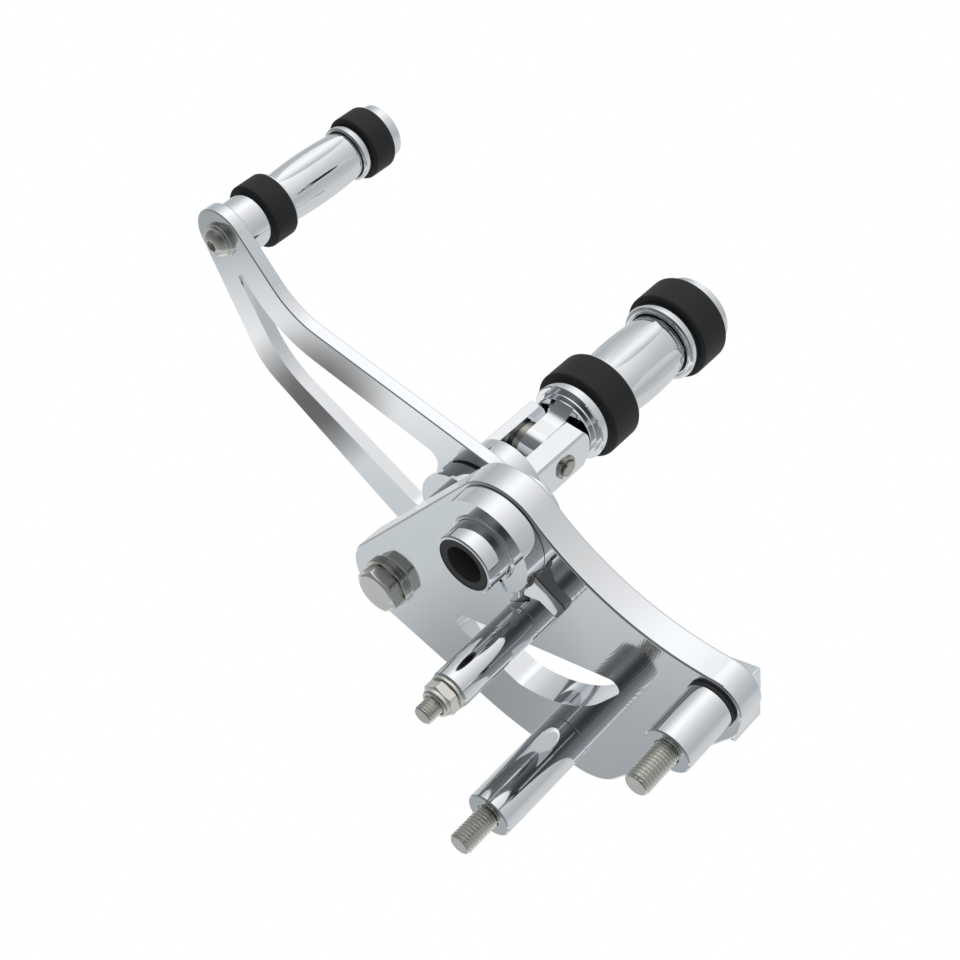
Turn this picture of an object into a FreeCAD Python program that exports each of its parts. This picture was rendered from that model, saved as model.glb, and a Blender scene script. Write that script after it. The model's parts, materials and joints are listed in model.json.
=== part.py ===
import FreeCAD, Part
import math
import os

from FreeCAD import Vector

# Motorcycle forward controls for the right-hand side, in millimetres.
# X points forward, Y inboard and Z up. The origin is on the relay pivot's axis, where it meets
# the inboard face of the plate. Every turned piece has its axis along Y.

# Axes of the plate, seen from inboard
PEG_X = 59.2
PEG_Z = -78.8
LOWER_X = -35.1
LOWER_Z = -100.2
UPPER_X = -96.0
UPPER_Z = -17.4

# Clearances
RUNNING = 0.05
LOOSE = 0.25
FACE_GAP = 0.1
EDGE_BREAK = 0.5
BOLT_BREAK = 1.0
HOLE_DEEPER = 0.5
OVERCUT = 1.0

# Shares of a size
HEX_CORNER_SLOPE = 0.55
BEAD_CROWN = 0.55
WASHER_RIM = 0.25

# Main plate
PLATE_THICK = 12.7
PLATE_EDGE = 0.9
HUB_RADIUS = 22.0
TOP_SWEEP = 105.0
UPPER_END_RADIUS = 12.3
HEEL_RADIUS = 8.0
HEEL_BACK = 3.7
HEEL_DROP = 8.0
LOWER_END_RADIUS = 24.0
LOWER_END_BACK = 5.1
LOWER_END_RISE = 7.2
BELLY_RADIUS = 100.0
BELLY_AHEAD = 17.1
LOBE_RADIUS = 21.0
LOBE_BACK = 1.2
LOBE_DROP = 1.2

# Teardrop cut-out of the plate
CUTOUT_ARC_RADIUS = 52.0
CUTOUT_ARC_BACK = 5.6
CUTOUT_ARC_DROP = 35.0
CUTOUT_CORNER_RADIUS = 9.0
CUTOUT_CORNER_ANGLE = -97.6
CUTOUT_FRONT_RADIUS = 5.2
CUTOUT_FRONT_BACK = 41.7
CUTOUT_FRONT_RISE = 6.6
CUTOUT_REAR_RADIUS = 4.0
CUTOUT_REAR_AHEAD = 42.2
CUTOUT_REAR_DROP = 30.1

# Mounting bolts and their spacers
MOUNT_THREAD_RADIUS = 5.0
MOUNT_SHANK_RADIUS = 4.6
THREAD_LEAD = 0.6
CAP_HEAD_RADIUS = 8.0
CAP_HEAD_HEIGHT = 7.0
CAP_SOCKET_ACROSS = 8.0
CAP_SOCKET_DEPTH = 4.0
LOWER_SPACER_RADIUS = 10.2
LOWER_SPACER_LENGTH = 47.5
LOWER_STUD_LENGTH = 17.0
UPPER_SPACER_RADIUS = 9.6
UPPER_SPACER_LENGTH = 24.7
UPPER_STUD_LENGTH = 17.5
UPPER_WASHER_RADIUS = 9.9
UPPER_WASHER_THICK = 1.5

# Block behind the rear end of the plate
BLOCK_DEPTH = 16.8
BLOCK_DROP = 8.8
BLOCK_HEIGHT = 26.0
BLOCK_LENGTH = 52.0
BLOCK_LEAN = 4.0
BLOCK_SLOPE = 18.0
BLOCK_NOTCH = 1.6
BLOCK_FRONT_RISE = 6.0

# Peg bolt and its washer
PEG_BOLT_RADIUS = 6.0
PEG_HEX_ACROSS = 19.0
PEG_HEAD_TURN = 12.0
PEG_WASHER_RADIUS = 11.6
PEG_WASHER_THICK = 2.2
PEG_HEAD_HEIGHT = 6.4
PEG_BOLT_GRIP = 12.5

# Pivot boss between the plate and the clevis
BOSS_NECK_RADIUS = 15.6
BOSS_NECK_LENGTH = 32.3
BOSS_FLANGE_RADIUS = 22.4
BOSS_FLANGE_THICK = 1.5
BOSS_RADIUS = 21.4
BOSS_LENGTH = 9.2
JOURNAL_RADIUS = 11.3
THRUST_WASHER_RADIUS = 20.1
THRUST_WASHER_THICK = 1.0

# Toe lever
LEVER_THICK = 6.35
LEVER_REACH = 162.2
LEVER_RISE = 22.7
LEVER_EDGE = 0.6
LEVER_HUB_RADIUS = 28.1
LEVER_HEEL_RADIUS = 37.0
LEVER_HEEL_AHEAD = 29.7
LEVER_HEEL_DROP = 18.1
LEVER_TOE_RADIUS = 15.0
LEVER_KNEE_RADIUS = 30.8
LEVER_KNEE_BACK = 39.6
LEVER_KNEE_DROP = 43.8
LEVER_BEND_RADIUS = 39.1
LEVER_BEND_BACK = 59.1
LEVER_BEND_RISE = 15.9
LEVER_BUSH_WALL = 2.0

# Long slot of the toe lever
SLOT_RIM = 17.5
SLOT_HUB_RADIUS = 24.4
SLOT_TOP_RADIUS = 6.2
SLOT_TOP_ANGLE = 12.8
SLOT_HEEL_RADIUS = 8.2
SLOT_HEEL_AHEAD = 36.6
SLOT_HEEL_DROP = 22.0
SLOT_KNEE_RADIUS = 46.3
SLOT_KNEE_BACK = 63.4
SLOT_KNEE_DROP = 20.9
SLOT_TIP_RADIUS = 2.3
SLOT_TIP_BACK = 10.4
SLOT_TIP_DROP = 16.1

# Toe peg
TOE_BOLT_RADIUS = 4.0
TOE_BOLT_GRIP = 18.0
TOE_HEAD_RADIUS = 7.2
TOE_HEAD_HEIGHT = 4.3
TOE_SOCKET_ACROSS = 5.0
TOE_SOCKET_DEPTH = 2.6
BUTTON_EDGE = 0.2
BUTTON_SHOULDER_OUT = 0.8
BUTTON_SHOULDER_UP = 0.72
BUTTON_FLAT = 0.45
TOE_WASHER_RADIUS = 8.4
TOE_WASHER_THICK = 1.6
TOE_NECK_RADIUS = 12.6
TOE_NECK_LENGTH = 13.0
TOE_RING_RADIUS = 15.4
TOE_RING_LENGTH = 13.4
TOE_BARREL_RADIUS = 11.2
TOE_BARREL_CROWN = 1.4
TOE_BARREL_LENGTH = 46.6
TOE_LIP_RADIUS = 14.5
TOE_LIP_THICK = 0.6
TOE_BEAD_RADIUS = 13.2
TOE_BEAD_LENGTH = 4.1
TOE_CAP_RADIUS = 13.0
TOE_CAP_LENGTH = 7.2

# Clevis and its pin
CLEVIS_RADIUS = 18.5
CLEVIS_FLANGE = 14.3
CLEVIS_HALF_HEIGHT = 11.5
CLEVIS_HALF_WIDTH = 15.4
CLEVIS_PIN_REACH = 33.3
CLEVIS_TIP_RADIUS = 17.0
SLOT_FLOOR = 15.8
REAR_EAR_INSIDE = 5.2
FRONT_EAR_INSIDE = 9.65
PIN_RADIUS = 4.0
PIN_HEAD_RADIUS = 6.2
PIN_HEAD_LENGTH = 2.5
PIN_TAIL = 2.4
CLIP_RADIUS = 5.75
CLIP_THICK = 1.0
CLIP_GROOVE = 0.8
CLIP_POCKET = 0.45
CLIP_POCKET_RISE = 30.0
CLIP_MOUTH = 1.5
SPRING_RADIUS = 9.65
SPRING_DISH = 1.3

# Folding footpeg
TONGUE_WIDTH = 9.45
NECK_HEIGHT = 15.8
NECK_LENGTH = 10.7
BASE_RADIUS = 19.4
BASE_LENGTH = 9.55
BASE_GAP = 0.4
BASE_FIRST_STEP = 3.8
BASE_SECOND_STEP = 2.2
PEG_RING_RADIUS = 22.4
PEG_RING_LENGTH = 17.7
PEG_BARREL_RADIUS = 15.4
PEG_BARREL_CROWN = 1.9
PEG_BARREL_LENGTH = 44.5
PEG_LIP_RADIUS = 21.2
PEG_LIP_THICK = 0.8
PEG_BEAD_RADIUS = 19.7
PEG_BEAD_LENGTH = 4.5
PEG_CAP_RADIUS = 18.7
PEG_CAP_LENGTH = 7.2
RING_SEAT_DEPTH = 4.6
RING_CORNER = 1.4
FLUTE_COUNT = 6
FLUTE_PHASE = 35.0
FLUTE_RISE = 0.15
FLUTE_RADIUS = 9.25
CAP_DOME = 1.6
SPIGOT_RADIUS = 5.0
SPIGOT_LENGTH = 12.0

# Pivot sleeve and its bush
SLEEVE_RADIUS = 12.7
SLEEVE_WALL = 1.3
SLEEVE_INBOARD = 20.7
SLEEVE_TAIL = 4.2
BORE_RADIUS = 7.94
BUSH_INSET = 0.3
RETAINER_RADIUS = 17.0
RETAINER_THICK = 1.5
RING_RADIUS = 15.2
RING_THICK = 1.2
RING_GROOVE = 0.8
RING_OPENING = 40.0

# Relay arm clamped on the sleeve
COLLAR_RADIUS = 20.5
COLLAR_HEIGHT = 9.5
ARM_THICK = 4.8
ARM_GAP = 0.2
ARM_RAMP = 8.5
ARM_RAMP_INSET = 1.0
ARM_RAMP_ANGLE = -132.0
ARM_TIP_RADIUS = 1.5
ARM_TIP_REACH = 36.0
ARM_TIP_ANGLE = -143.5
ARM_UPPER_FILLET = 2.5
ARM_UPPER_ANGLE = -146.0
ARM_LOWER_FILLET = 2.0
ARM_LOWER_ANGLE = -118.5
LINK_REACH = 40.0
LINK_ANGLE = -111.4
LINK_BOSS_RADIUS = 9.0
SLIT_ANGLE = -124.0
SLIT_WIDTH = 2.0
PINCH_RADIUS = 2.0
PINCH_REACH = 16.5
PINCH_HEAD_RADIUS = 3.4
PINCH_HEAD_HEIGHT = 4.0
PINCH_HALF_LENGTH = 9.5
PINCH_SOCKET_ACROSS = 3.0

# Link stud on the relay arm
LINK_THREAD_RADIUS = 4.0
LINK_SLEEVE_RADIUS = 8.1
LINK_SLEEVE_LENGTH = 40.8
LINK_WASHER_RADIUS = 7.6
LINK_WASHER_THICK = 1.6
LINK_NUT_ACROSS = 13.0
LINK_NUT_HEIGHT = 6.5
LINK_NUT_TURN = 20.0
LINK_TAIL = 6.5

# Places along Y that several pieces share
PLATE_BACK = -PLATE_THICK
HEAD_SEAT = PLATE_BACK + CAP_HEAD_HEIGHT
NECK_BACK = PLATE_BACK - BOSS_NECK_LENGTH
FLANGE_BACK = NECK_BACK - BOSS_FLANGE_THICK
BOSS_BACK = FLANGE_BACK - BOSS_LENGTH
WASHER_BACK = BOSS_BACK - THRUST_WASHER_THICK
LEVER_FRONT = WASHER_BACK - RUNNING
LEVER_BACK = LEVER_FRONT - LEVER_THICK
CLEVIS_FRONT = LEVER_BACK - RUNNING
CLEVIS_STEP = CLEVIS_FRONT - CLEVIS_FLANGE
PIN_Y = CLEVIS_FRONT - CLEVIS_PIN_REACH
ARM_BACK = ARM_GAP
ARM_FACE = ARM_BACK + ARM_THICK
COLLAR_FACE = ARM_BACK + COLLAR_HEIGHT
RETAINER_BACK = PLATE_BACK - FACE_GAP - RETAINER_THICK
RING_BACK = RETAINER_BACK - RING_THICK
SLEEVE_BACK = RING_BACK - RUNNING - SLEEVE_TAIL

TOE_X = PEG_X + LEVER_REACH * math.cos(math.radians(LEVER_RISE))
TOE_Z = PEG_Z + LEVER_REACH * math.sin(math.radians(LEVER_RISE))
LINK_X = LINK_REACH * math.cos(math.radians(LINK_ANGLE))
LINK_Z = LINK_REACH * math.sin(math.radians(LINK_ANGLE))

FULL_TURN = 2 * math.pi
TINY = 0.001


# Outlines

def polar(radius, degrees, x=0.0, z=0.0):
    """Point at a radius and an angle from (x, z)."""
    angle = math.radians(degrees)
    return (x + radius * math.cos(angle), z + radius * math.sin(angle))


def heading(degrees):
    """Unit vector at an angle in the plane of the plate."""
    x, z = polar(1, degrees)
    return Vector(x, 0, z)


def touching(first, second, radius):
    """Centre, to the left of the way from first to second, of a circle that touches both."""
    across = second[0] - first[0]
    up = second[1] - first[1]
    span = math.hypot(across, up)
    near = first[2] + radius
    far = second[2] + radius
    along = (near ** 2 - far ** 2 + span ** 2) / (2 * span)
    off = math.sqrt(near ** 2 - along ** 2)
    x = first[0] + (along * across - off * up) / span
    z = first[1] + (along * up + off * across) / span
    return (x, z)


def belt(circles, y_low, y_high):
    """Solid inside a belt laid round circles (x, z, radius), from one Y to another.

    The belt runs anticlockwise seen from outboard with X to the right. It keeps a circle of
    positive radius inside and one of negative radius outside.
    """
    headings = []
    for index, (x, z, radius) in enumerate(circles):
        next_x, next_z, next_radius = circles[(index + 1) % len(circles)]
        span = math.hypot(next_x - x, next_z - z)
        lean = max(-1.0, min(1.0, (next_radius - radius) / span))
        headings.append(math.atan2(next_z - z, next_x - x) - math.asin(lean))
    arcs = []
    for index, (x, z, radius) in enumerate(circles):
        start = headings[index - 1]
        turn = (headings[index] - start) % FULL_TURN
        if radius < 0:
            turn -= FULL_TURN
        places = []
        for part in (0.0, 0.5, 1.0):
            angle = start + turn * part
            places.append(Vector(x + radius * math.sin(angle), y_low,
                                 z - radius * math.cos(angle)))
        arcs.append(places)
    edges = []
    for index, (start, middle, end) in enumerate(arcs):
        follow = arcs[(index + 1) % len(arcs)][0]
        if end.distanceToPoint(follow) < TINY:
            end = follow
        edges.append(Part.Arc(start, middle, end).toShape())
        if end.distanceToPoint(follow) >= TINY:
            edges.append(Part.LineSegment(end, follow).toShape())
    face = Part.Face(Part.Wire(edges))
    return face.extrude(Vector(0, y_high - y_low, 0))


def soften(solid, y_places, size):
    """Round every edge that lies in one of the planes across Y."""
    chosen = []
    for edge in solid.Edges:
        box = edge.BoundBox
        for place in y_places:
            if abs(box.YMin - place) < TINY and abs(box.YMax - place) < TINY:
                chosen.append(edge)
    return solid.makeFillet(size, chosen)


# Turned pieces

def rod(x, z, y_low, y_high, radius):
    """Round bar along Y."""
    return Part.makeCylinder(radius, y_high - y_low, Vector(x, y_low, z), Vector(0, 1, 0))


def ring(x, z, y_low, y_high, radius, bore):
    """Bar with a hole through it."""
    hole = rod(x, z, y_low - OVERCUT, y_high + OVERCUT, bore)
    return rod(x, z, y_low, y_high, radius).cut(hole)


def turned(x, z, profile):
    """Turn a closed profile of (radius, y) points round the Y axis through (x, z)."""
    places = [Vector(x + radius, y, z) for radius, y in profile]
    face = Part.Face(Part.makePolygon(places + places[:1]))
    return face.revolve(Vector(x, 0, z), Vector(0, 1, 0), 360)


def bar_profile(y_low, y_high, radius, low_break, high_break):
    """Profile of a plain bar with its two outer corners broken."""
    return [(0, y_low), (radius - low_break, y_low), (radius, y_low + low_break),
            (radius, y_high - high_break), (radius - high_break, y_high), (0, y_high)]


def spacer(x, z, y_low, y_high, radius, bore):
    """Chrome tube with broken outer corners."""
    solid = turned(x, z, bar_profile(y_low, y_high, radius, EDGE_BREAK, EDGE_BREAK))
    return solid.cut(rod(x, z, y_low - OVERCUT, y_high + OVERCUT, bore))


def bead(x, z, y_low, y_high, inside, radius):
    """Ring with a half-round rim, from an inner radius to an outer one."""
    middle = (y_low + y_high) / 2
    half = (y_high - y_low) / 2
    flat = radius - half * BEAD_CROWN
    low = Vector(x + inside, y_low, z)
    low_rim = Vector(x + flat, y_low, z)
    crest = Vector(x + radius, middle, z)
    high_rim = Vector(x + flat, y_high, z)
    high = Vector(x + inside, y_high, z)
    edges = [Part.makeLine(low, low_rim), Part.Arc(low_rim, crest, high_rim).toShape(),
             Part.makeLine(high_rim, high), Part.makeLine(high, low)]
    face = Part.Face(Part.Wire(edges))
    return face.revolve(Vector(x, 0, z), Vector(0, 1, 0), 360)


def hexagon(x, z, y_low, y_high, across, turn=0.0):
    """Hexagonal bar along Y, given across its flats."""
    corner = across / math.sqrt(3)
    places = []
    for step in range(6):
        corner_x, corner_z = polar(corner, turn + 60 * step, x, z)
        places.append(Vector(corner_x, y_low, corner_z))
    face = Part.Face(Part.makePolygon(places + places[:1]))
    return face.extrude(Vector(0, y_high - y_low, 0))


def hex_head(x, z, y_low, y_high, across, turn):
    """Hexagon whose outer corners are turned down to a cone at its upper face."""
    corner = across / math.sqrt(3)
    fall = corner - across / 2
    cone = [(0, y_low), (corner, y_low), (corner, y_high - fall * HEX_CORNER_SLOPE),
            (corner - fall, y_high), (0, y_high)]
    return hexagon(x, z, y_low, y_high, across, turn).common(turned(x, z, cone))


def hex_nut(x, z, y_low, y_high, across, turn, bore):
    """Hexagon nut with its corners turned down at both faces."""
    corner = across / math.sqrt(3)
    fall = corner - across / 2
    slope = fall * HEX_CORNER_SLOPE
    cone = [(0, y_low), (corner - fall, y_low), (corner, y_low + slope),
            (corner, y_high - slope), (corner - fall, y_high), (0, y_high)]
    nut = hexagon(x, z, y_low, y_high, across, turn).common(turned(x, z, cone))
    return nut.cut(rod(x, z, y_low - OVERCUT, y_high + OVERCUT, bore))


# Plate group

def plate_outline():
    """Circles that the edge of the plate runs round."""
    hub = (0.0, 0.0, HUB_RADIUS)
    upper_end = (UPPER_X, UPPER_Z, UPPER_END_RADIUS)
    sweep_x, sweep_z = touching(upper_end, hub, TOP_SWEEP)
    heel = (UPPER_X - HEEL_BACK, UPPER_Z - HEEL_DROP, HEEL_RADIUS)
    lower_z = LOWER_Z + LOWER_END_RISE
    lower_end = (LOWER_X - LOWER_END_BACK, lower_z, LOWER_END_RADIUS)
    belly_z = lower_z - LOWER_END_RADIUS + BELLY_RADIUS
    belly = (LOWER_X + BELLY_AHEAD, belly_z, BELLY_RADIUS)
    lobe = (PEG_X - LOBE_BACK, PEG_Z - LOBE_DROP, LOBE_RADIUS)
    return [hub, (sweep_x, sweep_z, -TOP_SWEEP), upper_end, heel, lower_end, belly, lobe]


def cutout_outline():
    """Circles that the edge of the teardrop cut-out runs round."""
    front = (PEG_X - CUTOUT_FRONT_BACK, PEG_Z + CUTOUT_FRONT_RISE, CUTOUT_FRONT_RADIUS)
    rear = (UPPER_X + CUTOUT_REAR_AHEAD, UPPER_Z - CUTOUT_REAR_DROP, CUTOUT_REAR_RADIUS)
    arc = (-CUTOUT_ARC_BACK, -CUTOUT_ARC_DROP, CUTOUT_ARC_RADIUS)
    inset = CUTOUT_ARC_RADIUS - CUTOUT_CORNER_RADIUS
    corner_x, corner_z = polar(inset, CUTOUT_CORNER_ANGLE, arc[0], arc[1])
    return [front, rear, arc, (corner_x, corner_z, CUTOUT_CORNER_RADIUS)]


def main_plate():
    plate = soften(belt(plate_outline(), PLATE_BACK, 0), (PLATE_BACK, 0), PLATE_EDGE)
    cutout = belt(cutout_outline(), PLATE_BACK - OVERCUT, OVERCUT)
    holes = [(0, 0, SLEEVE_RADIUS + RUNNING),
             (PEG_X, PEG_Z, PEG_BOLT_RADIUS + LOOSE),
             (LOWER_X, LOWER_Z, MOUNT_THREAD_RADIUS + LOOSE),
             (UPPER_X, UPPER_Z, MOUNT_THREAD_RADIUS + LOOSE)]
    for x, z, radius in holes:
        plate = plate.cut(rod(x, z, PLATE_BACK - OVERCUT, OVERCUT, radius))
    for x, z in [(LOWER_X, LOWER_Z), (UPPER_X, UPPER_Z)]:
        plate = plate.cut(rod(x, z, PLATE_BACK - OVERCUT, HEAD_SEAT, CAP_HEAD_RADIUS + LOOSE))
    return plate.cut(cutout)


def cap_bolt(x, z, seat, end):
    """Socket head bolt: head sunk in the plate, thread standing out of the spacer's face.

    Inside the spacer the shank is as thin as the root of the thread.
    """
    thread = seat + THREAD_LEAD
    lead = MOUNT_THREAD_RADIUS - MOUNT_SHANK_RADIUS
    profile = [(0, PLATE_BACK), (CAP_HEAD_RADIUS - BOLT_BREAK, PLATE_BACK),
               (CAP_HEAD_RADIUS, PLATE_BACK + BOLT_BREAK), (CAP_HEAD_RADIUS, HEAD_SEAT),
               (MOUNT_SHANK_RADIUS, HEAD_SEAT), (MOUNT_SHANK_RADIUS, thread - lead),
               (MOUNT_THREAD_RADIUS, thread), (MOUNT_THREAD_RADIUS, end - BOLT_BREAK),
               (MOUNT_THREAD_RADIUS - BOLT_BREAK, end), (0, end)]
    socket = hexagon(x, z, PLATE_BACK - OVERCUT, PLATE_BACK + CAP_SOCKET_DEPTH, CAP_SOCKET_ACROSS)
    return turned(x, z, profile).cut(socket)


def rear_block():
    """Angular block against the back of the plate, below the upper bolt."""
    top = UPPER_Z - BLOCK_DROP
    bottom = top - BLOCK_HEIGHT
    rear = UPPER_X - BLOCK_NOTCH
    split = top - BLOCK_HEIGHT / 2
    lean = BLOCK_LEAN / 2
    front = rear + BLOCK_LENGTH
    places = [(rear, top), (rear - lean, split + BLOCK_NOTCH),
              (rear - lean + BLOCK_NOTCH, split), (rear - lean, split - BLOCK_NOTCH),
              (rear - BLOCK_LEAN, bottom), (front - BLOCK_SLOPE, bottom), (front, bottom + BLOCK_FRONT_RISE)]
    path = [Vector(x, PLATE_BACK - BLOCK_DEPTH, z) for x, z in places]
    face = Part.Face(Part.makePolygon(path + path[:1]))
    return face.extrude(Vector(0, BLOCK_DEPTH, 0))


def peg_bolt():
    """Bolt through the plate and the boss into the clevis."""
    head = hex_head(PEG_X, PEG_Z, PEG_WASHER_THICK, PEG_WASHER_THICK + PEG_HEAD_HEIGHT,
                    PEG_HEX_ACROSS, PEG_HEAD_TURN)
    end = CLEVIS_FRONT - PEG_BOLT_GRIP
    return head.fuse(rod(PEG_X, PEG_Z, end, PEG_WASHER_THICK, PEG_BOLT_RADIUS))


def spacer_washer(x, z, low, thick, radius, bore):
    """Flat washer with its rim slightly broken on one side."""
    rim = thick * WASHER_RIM
    solid = turned(x, z, [(0, low), (radius, low), (radius, low + thick - rim),
                          (radius - rim, low + thick), (0, low + thick)])
    return solid.cut(rod(x, z, low - OVERCUT, low + thick + OVERCUT, bore))


def pivot_boss():
    """Turned piece that holds the clevis off the plate and carries the lever on its journal."""
    profile = [(0, PLATE_BACK), (BOSS_NECK_RADIUS, PLATE_BACK), (BOSS_NECK_RADIUS, NECK_BACK),
               (BOSS_FLANGE_RADIUS, NECK_BACK), (BOSS_FLANGE_RADIUS, FLANGE_BACK),
               (BOSS_RADIUS, FLANGE_BACK), (BOSS_RADIUS, BOSS_BACK + EDGE_BREAK),
               (BOSS_RADIUS - EDGE_BREAK, BOSS_BACK), (JOURNAL_RADIUS, BOSS_BACK),
               (JOURNAL_RADIUS, CLEVIS_FRONT), (0, CLEVIS_FRONT)]
    boss = turned(PEG_X, PEG_Z, profile)
    return boss.cut(rod(PEG_X, PEG_Z, CLEVIS_FRONT - OVERCUT, OVERCUT, PEG_BOLT_RADIUS + LOOSE))


def clevis():
    """Round blank milled flat above and below, with a slot for the tongue and two ears."""
    reach = CLEVIS_PIN_REACH + CLEVIS_TIP_RADIUS
    blank = rod(PEG_X, PEG_Z, CLEVIS_FRONT - reach, CLEVIS_FRONT, CLEVIS_RADIUS)
    ear_width = 2 * CLEVIS_HALF_WIDTH
    flats = Part.makeBox(ear_width, reach, 2 * CLEVIS_HALF_HEIGHT,
                         Vector(PEG_X - CLEVIS_HALF_WIDTH, CLEVIS_FRONT - reach,
                                PEG_Z - CLEVIS_HALF_HEIGHT))
    tip = Part.makeCylinder(CLEVIS_TIP_RADIUS, ear_width,
                            Vector(PEG_X - CLEVIS_HALF_WIDTH, PIN_Y, PEG_Z), Vector(1, 0, 0))
    straight = Part.makeBox(ear_width, CLEVIS_PIN_REACH, 2 * CLEVIS_HALF_HEIGHT,
                            Vector(PEG_X - CLEVIS_HALF_WIDTH, PIN_Y,
                                   PEG_Z - CLEVIS_HALF_HEIGHT))
    ears = blank.common(flats).common(tip.fuse(straight))
    profile = [(0, CLEVIS_STEP), (CLEVIS_RADIUS, CLEVIS_STEP),
               (CLEVIS_RADIUS, CLEVIS_FRONT - EDGE_BREAK),
               (CLEVIS_RADIUS - EDGE_BREAK, CLEVIS_FRONT), (0, CLEVIS_FRONT)]
    flange = turned(PEG_X, PEG_Z, profile)
    slot = Part.makeBox(REAR_EAR_INSIDE + FRONT_EAR_INSIDE, reach, 4 * CLEVIS_HALF_HEIGHT,
                        Vector(PEG_X - REAR_EAR_INSIDE, PIN_Y + SLOT_FLOOR - reach,
                               PEG_Z - 2 * CLEVIS_HALF_HEIGHT))
    pin_hole = along_x(PEG_X - CLEVIS_HALF_WIDTH - OVERCUT, PEG_X + CLEVIS_HALF_WIDTH + OVERCUT,
                       PIN_RADIUS + RUNNING)
    thread = rod(PEG_X, PEG_Z, CLEVIS_FRONT - PEG_BOLT_GRIP - HOLE_DEEPER,
                 CLEVIS_FRONT + OVERCUT, PEG_BOLT_RADIUS + RUNNING)
    return ears.fuse(flange).cut(slot).cut(pin_hole).cut(thread).removeSplitter()


def along_x(x_low, x_high, radius):
    """Round bar on the fold pin's axis."""
    return Part.makeCylinder(radius, x_high - x_low, Vector(x_low, PIN_Y, PEG_Z),
                             Vector(1, 0, 0))


def clevis_pin():
    """Headed pin with a groove for the clip at its rear end."""
    rear = PEG_X - CLEVIS_HALF_WIDTH
    front = PEG_X + CLEVIS_HALF_WIDTH
    pin = along_x(rear - PIN_TAIL, front, PIN_RADIUS)
    pin = pin.fuse(along_x(front, front + PIN_HEAD_LENGTH, PIN_HEAD_RADIUS))
    groove = along_x(rear - CLIP_THICK, rear, PIN_RADIUS + OVERCUT)
    groove = groove.cut(along_x(rear - CLIP_THICK, rear, PIN_RADIUS - CLIP_GROOVE))
    return pin.cut(groove)


def pin_clip():
    """Three-lobed clip pushed on the pin from below."""
    rear = PEG_X - CLEVIS_HALF_WIDTH
    relief = PIN_RADIUS - CLIP_GROOVE
    low = rear - CLIP_THICK
    clip = along_x(low, rear, CLIP_RADIUS)
    clip = clip.cut(along_x(low - OVERCUT, rear + OVERCUT, relief + RUNNING))
    through = CLIP_THICK + 2 * OVERCUT
    for degrees in (CLIP_POCKET_RISE, 180 - CLIP_POCKET_RISE):
        side, up = polar(relief, degrees)
        pocket = Part.makeCylinder(relief * CLIP_POCKET, through,
                                   Vector(low - OVERCUT, PIN_Y + side, PEG_Z + up),
                                   Vector(1, 0, 0))
        clip = clip.cut(pocket)
    width = relief * CLIP_MOUTH
    mouth = Part.makeBox(through, width, CLIP_RADIUS,
                         Vector(low - OVERCUT, PIN_Y - width / 2, PEG_Z - CLIP_RADIUS - EDGE_BREAK))
    return clip.cut(mouth)


def spring_washer():
    """Dished spring washer that keeps the folded footpeg stiff."""
    low = PEG_X - REAR_EAR_INSIDE + TONGUE_WIDTH + 2 * FACE_GAP
    high = PEG_X + FRONT_EAR_INSIDE
    bore = PIN_RADIUS + LOOSE
    profile = [(bore, low + SPRING_DISH), (bore, high), (SPRING_RADIUS - SPRING_DISH, high),
               (SPRING_RADIUS, high - SPRING_DISH), (SPRING_RADIUS, low)]
    places = [Vector(x, PIN_Y + radius, PEG_Z) for radius, x in profile]
    face = Part.Face(Part.makePolygon(places + places[:1]))
    return face.revolve(Vector(0, PIN_Y, PEG_Z), Vector(1, 0, 0), 360)


# Pegs

def fluted_barrel(x, z, y_low, y_high, radius, crown):
    """Crowned barrel with straight flutes, which run out as leaf tips near its thin ends."""
    low, high = Vector(x, y_low, z), Vector(x, y_high, z)
    low_rim, high_rim = Vector(x + radius, y_low, z), Vector(x + radius, y_high, z)
    crest = Vector(x + radius + crown, (y_low + y_high) / 2, z)
    edges = [Part.makeLine(low, low_rim), Part.Arc(low_rim, crest, high_rim).toShape(),
             Part.makeLine(high_rim, high), Part.makeLine(high, low)]
    face = Part.Face(Part.Wire(edges))
    barrel = face.revolve(Vector(x, 0, z), Vector(0, 1, 0), 360)
    for step in range(FLUTE_COUNT):
        degrees = FLUTE_PHASE + 360 / FLUTE_COUNT * step
        flute_x, flute_z = polar(radius + FLUTE_RISE + FLUTE_RADIUS, degrees, x, z)
        barrel = barrel.cut(rod(flute_x, flute_z, y_low - OVERCUT, y_high + OVERCUT,
                                FLUTE_RADIUS))
    return barrel


def rubber_ring(x, z, y_low, y_high, radius, bore):
    """Rubber band with rounded outer corners."""
    solid = soften(rod(x, z, y_low, y_high, radius), (y_low, y_high), RING_CORNER)
    return solid.cut(rod(x, z, y_low - OVERCUT, y_high + OVERCUT, bore))


def end_cap(x, z, face, length, radius):
    """Cap with a domed outer face and a spigot that is pressed into the core."""
    out = face - length
    sphere = (radius ** 2 + CAP_DOME ** 2) / (2 * CAP_DOME)
    half_angle = math.asin(radius / sphere) / 2
    middle = Vector(x + sphere * math.sin(half_angle),
                    out + sphere - sphere * math.cos(half_angle), z)
    places = [Vector(x, face, z), Vector(x + radius, face, z),
              Vector(x + radius, out + CAP_DOME, z), Vector(x, out, z)]
    edges = [Part.makeLine(places[0], places[1]), Part.makeLine(places[1], places[2]),
             Part.Arc(places[2], middle, places[3]).toShape(),
             Part.makeLine(places[3], places[0])]
    cap = Part.Face(Part.Wire(edges)).revolve(Vector(x, 0, z), Vector(0, 1, 0), 360)
    return cap.fuse(rod(x, z, face, face + SPIGOT_LENGTH, SPIGOT_RADIUS))


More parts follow.
